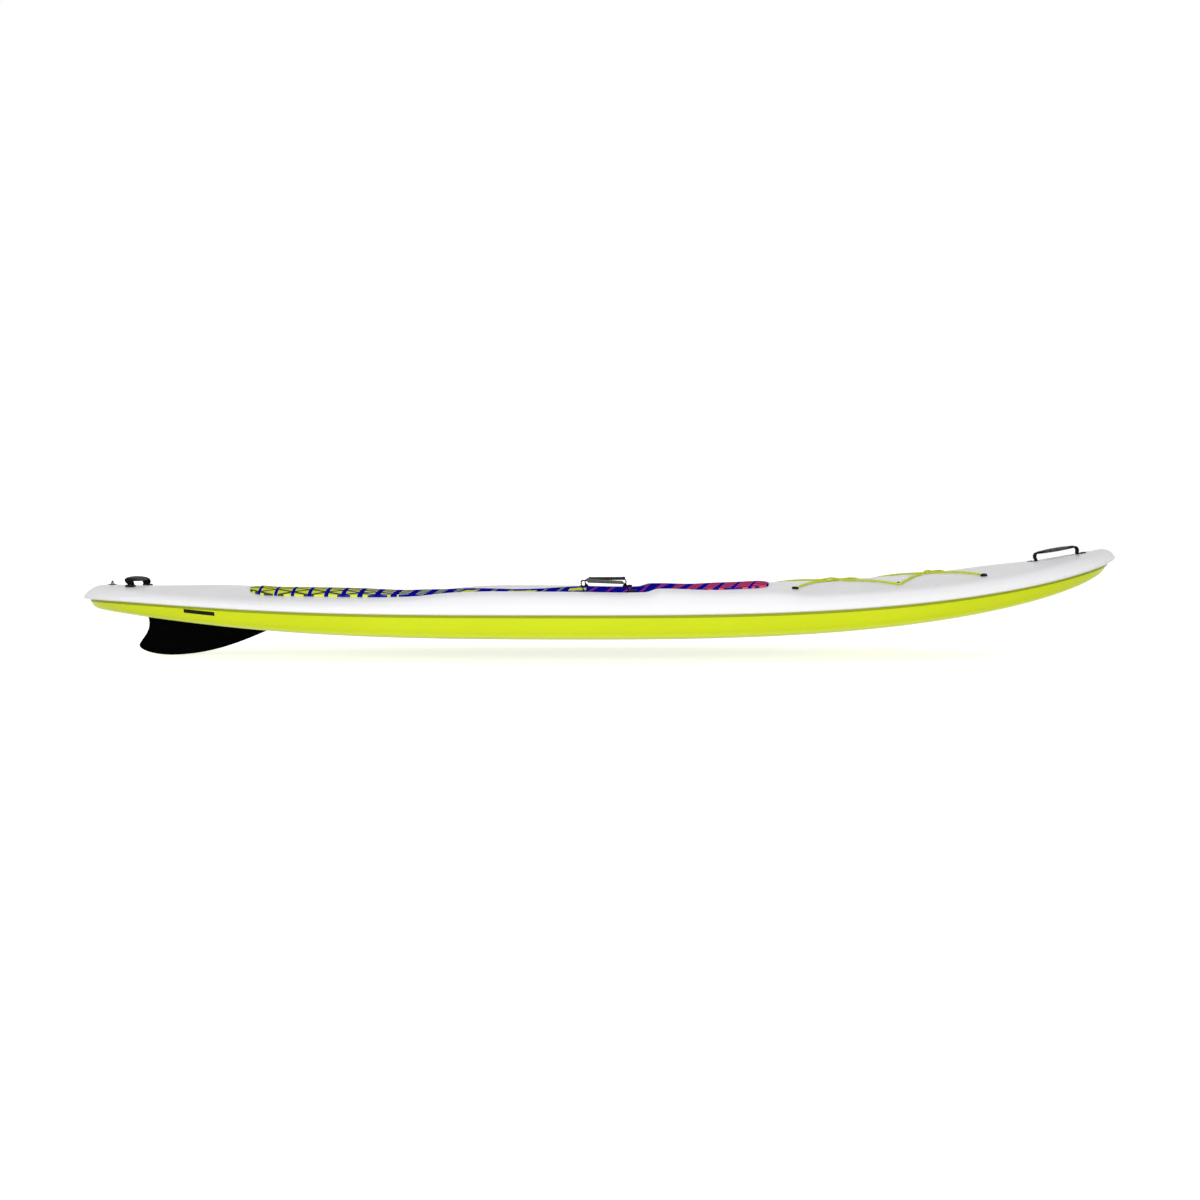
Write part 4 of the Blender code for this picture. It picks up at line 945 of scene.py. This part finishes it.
def cordPlan(side):
    fit = bungeeFittings
    aft = Vector((cordRoute["aft"][0], side * cordRoute["aft"][1]))
    hook = Vector((cordRoute["middle"][0], -side * cordRoute["middle"][1]))
    fore = Vector((cordRoute["fore"][0], side * cordRoute["fore"][1]))
    radius = fit["hookRadius"] + boardForm["fitGap"] + fit["cordRadius"]
    meetIn = tangentPoint(aft, hook, radius, -side)
    meetOut = tangentPoint(fore, hook, radius, -side)
    start = aft + (meetIn - aft).normalized() * (fit["capRadius"] * 0.94)
    end = fore + (meetOut - fore).normalized() * (fit["capRadius"] * 0.94)
    plan = straightRun(start, meetIn, cordRoute["step"])
    angleIn = atan2(*(meetIn - hook).yx)
    angleOut = atan2(*(meetOut - hook).yx)
    turn = (angleOut - angleIn + pi) % (2 * pi) - pi
    for k in range(1, 12):
        angle = angleIn + turn * k / 12
        plan.append(hook + radius * Vector((cos(angle), sin(angle))))
    return plan + straightRun(meetOut, end, cordRoute["step"]) + [end]


def cordLine(side, over):
    fit = bungeeFittings
    line = []
    for spot in cordPlan(side):
        deck, up = deckAt(spot.x, spot.y)
        centre = deck + up * (fit["cordRadius"] + fit["cordLift"])
        if over:
            share = min(abs(spot.y) / cordRoute["crossing"], 1.0)
            centre.z += (2 * fit["cordRadius"] + fit["cordLift"]) * cos(pi / 2 * share) ** 2
        line.append(centre)
    return line


# A tube round a line of points: section(share, turn) gives its half sizes at each share of the length
def tubeAlong(line, sides, section, side):
    frames = []
    for k, point in enumerate(line):
        ahead = line[min(k + 1, len(line) - 1)] - line[max(k - 1, 0)]
        frames.append(tubeFrame(point, ahead, side))
    count = len(line) - 1

    def place(along, across):
        k = round(along * count)
        wide, thick = section(along, across)
        return frames[k] @ Vector((0.0, wide, thick))

    return gridSurface(count, sides, place)


def tubeFrame(point, ahead, side):
    x = ahead.normalized()
    y = (side - side.project(x)).normalized()
    return axesAt(point, x, y, x.cross(y))


def makeCord(name, side, over, node):
    line = cordLine(side, over)
    radius = bungeeFittings["cordRadius"]
    count = len(line) - 1

    def section(along, across):
        nearEnd = min(along, 1 - along) * count
        size = radius * (0.02 if nearEnd < 0.5 else 1.0)
        turn = across * 2 * pi
        return size * cos(turn), size * sin(turn)

    bm = tubeAlong(line, 16, section, Vector((0, 0, 1)))
    piece = makePiece(name, facedOut(bm), chartreuseCord, "board", [node])


makeCord("bungeeCordPort", 1, True, "bungee_cord_port")
makeCord("bungeeCordStarboard", -1, False, "bungee_cord_starboard")
print("bungee: done")


# Carry handles: webbing through a ribbed grip, an anchor plate at each end
handleShape = {
    "span": 0.127,
    "height": 0.035,
    "pivotHeight": 0.0031,
    "bend": 0.009,
    "bulge": 0.0030,
    "webWidth": 0.025,
    "webFoot": 0.021,
    "webThickness": 0.0048,
    "flare": 1.25,  # how much thicker the webbing is at its feet
    "flareShare": 0.25,
    "gripLength": 0.112,
    "gripWidth": 0.030,
    "gripHeight": 0.0118,
    "spindle": 0.0,  # how much thinner the grip is at its ends
    "arch": 0.0,
    "ribPitch": 0.0052,
    "ribDepth": 0.0009,
    "twist": 0.0,
    "slide": 0.0,
    "gripSlide": 0.0,
    "tip": 0.0,
    "lean": 0.0,
    "swerve": 0.0,
    "sink": (0.0, 0.0),
    "anchor": (0.0312, 0.026, 0.0055),
    "anchorCorner": 0.0075,
    "anchorRim": 0.0022,
    "rubber": ribbedRubber,
}
# What is each handle's own, and how it hangs: its top slides along, tips end over end or leans
handleLooks = {
    "bow_handle": {
        "up": (-0.1956, 0.0, 0.9807), "ends": ("aft", "fore"), "height": 0.0342, "gripHeight": 0.0125,
        "spindle": 0.38, "arch": 0.0008, "webThickness": 0.0046, "sink": (0.0035, 0.0070), "twist": 5.0,
        "ribPitch": 0.0075, "ribDepth": 0.0013, "rubber": paintedHalfLitRubber,
    },
    "stern_handle": {
        "up": (0.0395, 0.0, 0.9992), "ends": ("starboard", "port"), "height": 0.0284, "gripHeight": 0.0145,
        "spindle": 0.25, "arch": 0.0012, "lean": 0.0063, "swerve": 0.0033, "webWidth": 0.0262,
        "webFoot": 0.0185,
    },
    "port_handle": {
        "up": (-0.0064, -0.0107, 0.9999), "ends": ("aft", "fore"), "height": 0.0343, "gripLength": 0.122,
        "gripHeight": 0.0110, "gripSlide": 0.0046, "webThickness": 0.0036, "bulge": 0.0045, "flare": 5.0,
    },
    "starboard_handle": {
        "up": (-0.0064, 0.0107, 0.9999), "ends": ("aft", "fore"), "height": 0.0380, "gripLength": 0.106,
        "gripHeight": 0.0114, "slide": -0.010, "gripSlide": 0.0064, "tip": -0.058, "webThickness": 0.0034,
        "rubber": paintedLitRubber,
    },
}


def handleFrame(name, shape):
    joint = next(j for j in frame["joints"] if j["child"] == name)
    place = frameOf(Vector(joint["pos_m"]), Vector(joint["axis"]), Vector(shape["up"]))
    aft, fore = shape["sink"]
    tilt = atan((fore - aft) / shape["span"])
    return place @ Matrix.Translation((0, 0, -(aft + fore) / 2)) @ Matrix.Rotation(tilt, 4, "Y")


def gripLevel(shape):
    return shape["height"] - shape["gripHeight"] / 2 - shape["pivotHeight"]


def relaxed(point, shape):
    share = max(point.z / gripLevel(shape), 0.0)
    spread = point.x / (shape["span"] / 2)
    x = point.x + shape["slide"] * share
    y = point.y + (shape["lean"] - shape["swerve"] * spread) * share
    z = point.z + (shape["tip"] * point.x + shape["arch"] * (1 - spread * spread)) * share
    return Vector((x, y, z))


def webLoop(name, place, shape):
    top = gripLevel(shape)
    leg, bend, bulge = shape["span"] / 2, shape["bend"], shape["bulge"]
    half = [(-leg, -0.0015), (-leg - bulge * 0.4, top * 0.22), (-leg - bulge, top * 0.5)]
    half.append((-leg - bulge * 0.5, top * 0.78))
    half += [(-leg + bend * 0.35, top * 0.97), (-leg + bend * 1.3, top), (-leg * 0.4, top)]
    points = half + [(-x, z) for x, z in reversed(half)]
    steps = 96
    line = []
    for k in range(steps + 1):
        x, z = throughPoints(points, k / steps)
        line.append(Vector((x, 0.0, z)))

    def section(along, across):
        near = min(along, 1 - along) * 2
        wide = mixValues(shape["webFoot"], shape["webWidth"], smoothStep(near * 3)) / 2
        flare = mixValues(shape["flare"], 1.0, min(near / shape["flareShare"], 1.0))
        thick = shape["webThickness"] / 2 * flare
        if min(along, 1 - along) * steps < 0.5:
            wide, thick = wide * 0.02, thick * 0.02
        turn = across * 2 * pi
        y = signedPower(cos(turn), 0.30) * wide
        z = signedPower(sin(turn), 0.55) * thick
        return y, z

    bm = tubeAlong(line, 28, section, Vector((0, 1, 0)))
    for vert in bm.verts:
        vert.co = place @ relaxed(vert.co, shape)
    strap = [name + "_strap"]
    return makePiece(name + "_webbing", facedOut(bm), blackWebbing, name, strap)


def ribbedGrip(name, place, shape):
    top = gripLevel(shape)
    columns, sides = 168, 36
    half = shape["gripLength"] / 2

    def put(along, across):
        x = (along * 2 - 1) * half
        turn = across * 2 * pi
        fromEnd = half - abs(x)
        rib = 0.5 + 0.5 * cos(2 * pi * x / shape["ribPitch"] + shape["twist"] * turn)
        fade = smoothStep((fromEnd - 0.006) / 0.004) * max(sin(turn), 0.25)
        depth = shape["ribDepth"] * (rib - 1) * fade
        size = (1.0 if fromEnd > 0.0016 else 0.93) * (1 - shape["spindle"] * (x / half) ** 2)
        if fromEnd < 1e-6:
            size = 0.02
        y = signedPower(cos(turn), 0.75) * (shape["gripWidth"] / 2 + depth) * size
        z = signedPower(sin(turn), 0.75) * (shape["gripHeight"] / 2 + depth) * size
        return place @ relaxed(Vector((x + shape["gripSlide"], y, top + z)), shape)

    bm = facedOut(gridSurface(columns, sides, put))
    return makePiece(name + "_ribs", bm, shape["rubber"], name, [name + "_grip"])


# The plate that each end of a handle goes down into
def anchorPlate(node, along, shape, sink):
    place = nodeFrame(node, along) @ Matrix.Translation((0, 0, -sink))
    plate = placed(roundedPlate(shape["anchor"], shape["anchorCorner"], 6, shape["anchorRim"], 3), place)
    return makePiece(node + "_plate", plate, blackMoulding, "board", [node])


for name, look in handleLooks.items():
    shape = {**handleShape, **look}
    place = handleFrame(name, shape)
    webLoop(name, place, shape)
    ribbedGrip(name, place, shape)
    for sink, end in zip(shape["sink"], shape["ends"]):
        anchorPlate(name + "_anchor_" + end, place.col[0].xyz, shape, sink)
        panScrew(name + "_screw_" + end, **{**deckScrew, "sunk": deckScrew["sunk"] + sink})
print("handles: done")


# Leash eye: a rounded base with an upright loop
leashEye = {
    "size": (0.018, 0.034, 0.0026), "corner": 0.018 * 0.42, "rim": 0.0010, "loopHeight": 0.0132,
    "loopWidth": 0.0145, "bar": 0.0035, "thick": 0.0030, "sink": 0.0028,
}


def makeLeashEye(settings):
    place = nodeFrame("leash_eye") @ Matrix.Translation((0, 0, -settings["sink"]))
    base = placed(roundedPlate(settings["size"], settings["corner"], 8, settings["rim"], 2), place)
    makePiece("leashEyeBase", base, blackMoulding, "board", ["leash_eye"])
    radius = (settings["loopWidth"] - settings["bar"]) / 2
    shank = settings["loopHeight"] - settings["bar"] / 2 - radius
    line = [Vector((0, -radius, 0.001)), Vector((0, -radius, shank * 0.6))]
    for k in range(17):
        turn = pi * (1 - k / 16)
        line.append(Vector((0, radius * cos(turn), shank + radius * sin(turn))))
    line += [Vector((0, radius, shank * 0.6)), Vector((0, radius, 0.001))]

    def section(along, across):
        turn = across * 2 * pi
        size = 0.02 if min(along, 1 - along) * (len(line) - 1) < 0.5 else 1.0
        wide = signedPower(cos(turn), 0.7) * settings["thick"] / 2 * size
        thick = signedPower(sin(turn), 0.7) * settings["bar"] / 2 * size
        return wide, thick

    loop = placed(tubeAlong(line, 20, section, Vector((1, 0, 0))), place)
    makePiece("leashEyeLoop", facedOut(loop), blackMoulding, "board")
    for side in ("port", "starboard"):
        panScrew("leash_eye_screw_" + side, **{**smallScrew, "sunk": smallScrew["sunk"] + settings["sink"]})


makeLeashEye(leashEye)
print("leash eye: done")


# Fin: a smooth blade between two curved edges, with the tab and tongue that sit in its box
finForm = {
    "setback": 0.186,
    "base": 0.419,
    "depth": 0.1256,
    "thickness": 0.0095,
    "clearance": 0.0012,
    # Bezier points in shares of base and depth
    "trailing": ((-0.012, 0.0), (0.05, 0.42), (-0.045, 0.62), (-0.066, 0.815)),
    "tip": ((-0.066, 0.815), (-0.076, 0.950), (0.03, 1.035), (0.167, 1.0)),
    "leading": ((0.986, 0.0), (0.812, 0.265), (0.546, 0.873), (0.167, 1.0)),
    "tipShare": 0.40,
    "columns": 48,
    "rows": 64,
    # Tab and tongue from the middle of the box: from, to, low, high
    "tab": (-0.1347, 0.1113, -0.0034, 0.0260),
    "tongue": (0.1013, 0.1328, 0.0033, 0.0093),
    "tabThickness": 0.0078,
    "tabEdge": 0.0006,
}


def bezierAt(points, t):
    a, b, c, d = (Vector(point) for point in points)
    return a * (1 - t) ** 3 + b * 3 * t * (1 - t) ** 2 + c * 3 * t * t * (1 - t) + d * t**3


def keelHeight(x):
    return lipHeight(x) - hullDepth(x) - boardForm["keelDrop"] * (1 - (x / halfLength) ** 2)


def finPlace(along, across):
    form = finForm
    rear = form["setback"] - halfLength
    rearRoot, frontRoot = keelHeight(rear), keelHeight(rear + form["base"])
    row = round(across * form["rows"])
    share = max(row - 1, 0) / (form["rows"] - 1)
    if share < 1 - form["tipShare"]:
        back = bezierAt(form["trailing"], share / (1 - form["tipShare"]))
    else:
        back = bezierAt(form["tip"], (share - 1 + form["tipShare"]) / form["tipShare"])
    front = bezierAt(form["leading"], share)
    chord = (front - back).length
    side = 1 if along <= 0.5 else -1
    u = (1 - cos(pi * (along * 2 if side > 0 else 2 - along * 2))) / 2
    spot = back.lerp(front, u)
    x = rear + form["base"] * spot.x
    z = mixValues(rearRoot, frontRoot, spot.x) - form["depth"] * spot.y
    if row <= 1:
        z = keelHeight(x) - form["clearance"]
    y = 0.0
    if row > 0 and 0 < u < 1:
        y = side * form["thickness"] / 2 * chord**0.35 * sin(pi * u) ** 0.6
    return Vector((x, y, z))


def finBlock(name, size):
    start, end, low, high = size
    extent = (end - start, finForm["tabThickness"], high - low)
    bm = blockAt(extent, ((start + end) / 2, 0, (low + high) / 2))
    bevelEdges(bm, bm.edges[:], finForm["tabEdge"], 2)
    makePiece(name, placed(bm, nodeFrame("fin_box")), finPlastic, "fin")


finBlade = facedOut(gridSurface(finForm["columns"] * 2, finForm["rows"], finPlace))
makePiece("finBlade", finBlade, finPlastic, "fin", ["fin"])
finBlock("finTab", finForm["tab"])
finBlock("finTongue", finForm["tongue"])
print("fin: done")


# Hidden pieces and small parts that keep their solids
def foamMaterial():
    made, tree, shader, coords = newMaterial("coreFoam", 0.9)
    beads = tree.nodes.new("ShaderNodeTexVoronoi")
    beads.inputs["Scale"].default_value = 260.0
    tree.links.new(coords["Object"], beads.inputs["Vector"])
    share = remap(tree, beads.outputs["Distance"], 0.0, 0.8)
    feed(tree, shader.inputs["Base Color"], mixColour(tree, share, rgb(238, 238, 232), rgb(205, 205, 198)))
    addBump(tree, shader, beads.outputs["Distance"], 0.6, 0.0012)
    return made


def brassMaterial():
    made, tree, shader, coords = newMaterial("plainBrass", 0.35, 1.0)
    tarnish = noise(tree, coords["Object"], 400.0, 3.0)
    share = remap(tree, tarnish, 0.3, 0.7)
    feed(tree, shader.inputs["Base Color"], mixColour(tree, share, rgb(196, 160, 84), rgb(160, 124, 58)))
    addBump(tree, shader, tarnish, 0.15, 0.0002)
    return made


coreFoam = foamMaterial()
plainBrass = brassMaterial()


# The deck dips under the top of the bow core, so that one is drawn as its solid with the top lowered
coreGap = 0.004
bowSolid = bmesh.new()
bowSolid.from_mesh(frame["nodes"]["foam_core_bow"].data)
bmesh.ops.remove_doubles(bowSolid, verts=bowSolid.verts, dist=0.000001)
for vert in bowSolid.verts:
    roof = deckAt(vert.co.x, vert.co.y)[0].z - boardForm["wall"] - coreGap
    vert.co.z = min(vert.co.z, roof)
makePiece("bowCore", bowSolid, coreFoam, "board", ["foam_core_bow"])
keptNodes = {
    "foam_core_stern": coreFoam, "foam_core_mid": coreFoam,
    "fin_plate_nut": plainBrass, "fin_pin": blackSteel, "fin_screw": blackSteel, "fin_box": blackMoulding,
}
for node, material in keptNodes.items():
    mesh = frame["nodes"][node].data
    mesh.materials.clear()
    mesh.materials.append(material)
print("small parts: done")


# Floor, world and lamps
stageLook = {
    "floorSize": 60.0,
    "floorColour": 0.88,
    "floorGlow": 0.74,
    "ambient": 0.52,
    "key": 118.0,
    "top": 3.0,
    "low": 25.0,
}


def makeFloor(settings):
    bm = bmesh.new()
    bmesh.ops.create_grid(bm, x_segments=1, y_segments=1, size=settings["floorSize"] / 2)
    floor = makeObject("floor", meshFrom("floor", bm))
    made, tree, shader, coords = newMaterial("floorPaper", 1.0, specular=0.0)
    shade = settings["floorColour"]
    shader.inputs["Base Color"].default_value = (shade, shade, shade, 1.0)
    path = tree.nodes.new("ShaderNodeLightPath")
    glow = calc(tree, "MAXIMUM", path.outputs["Is Camera Ray"], path.outputs["Is Glossy Ray"])
    shader.inputs["Emission Color"].default_value = (1.0, 1.0, 1.0, 1.0)
    feed(tree, shader.inputs["Emission Strength"], calc(tree, "MULTIPLY", glow, settings["floorGlow"]))
    floor.data.materials.append(made)


def makeWorld(settings):
    world = bpy.data.worlds.new("studio")
    bpy.context.scene.world = world
    world.use_nodes = True
    tree = world.node_tree
    background = tree.nodes["Background"]
    background.inputs["Color"].default_value = (1.0, 1.0, 1.0, 1.0)
    path = tree.nodes.new("ShaderNodeLightPath")
    seen = calc(tree, "MAXIMUM", path.outputs["Is Camera Ray"], path.outputs["Is Glossy Ray"])
    seen = calc(tree, "MAXIMUM", seen, path.outputs["Is Transmission Ray"])
    feed(tree, background.inputs["Strength"], remap(tree, seen, 0.0, 1.0, settings["ambient"], 1.0))


def makeLamp(name, energy, size, place, target):
    data = bpy.data.lights.new(name, "AREA")
    data.shape = "RECTANGLE"
    data.size, data.size_y = size
    data.energy = energy
    lamp = makeObject(name, data)
    lamp.location = place
    lamp.rotation_euler = (Vector(target) - Vector(place)).to_track_quat("-Z", "Y").to_euler()


makeFloor(stageLook)
makeWorld(stageLook)
makeLamp("keyLamp", stageLook["key"], (7.5, 2.2), (-0.3, -4.8, 1.3), (0.0, 0.0, 0.2))
makeLamp("topLamp", stageLook["top"], (5.0, 3.0), (0.0, 0.5, 3.2), (0.0, 0.0, 0.2))
makeLamp("lowLamp", stageLook["low"], (6.0, 0.5), (0.0, -3.2, 0.15), (0.0, 0.0, 0.05))
bpy.context.scene.view_settings.view_transform = "Standard"
print("stage: done")
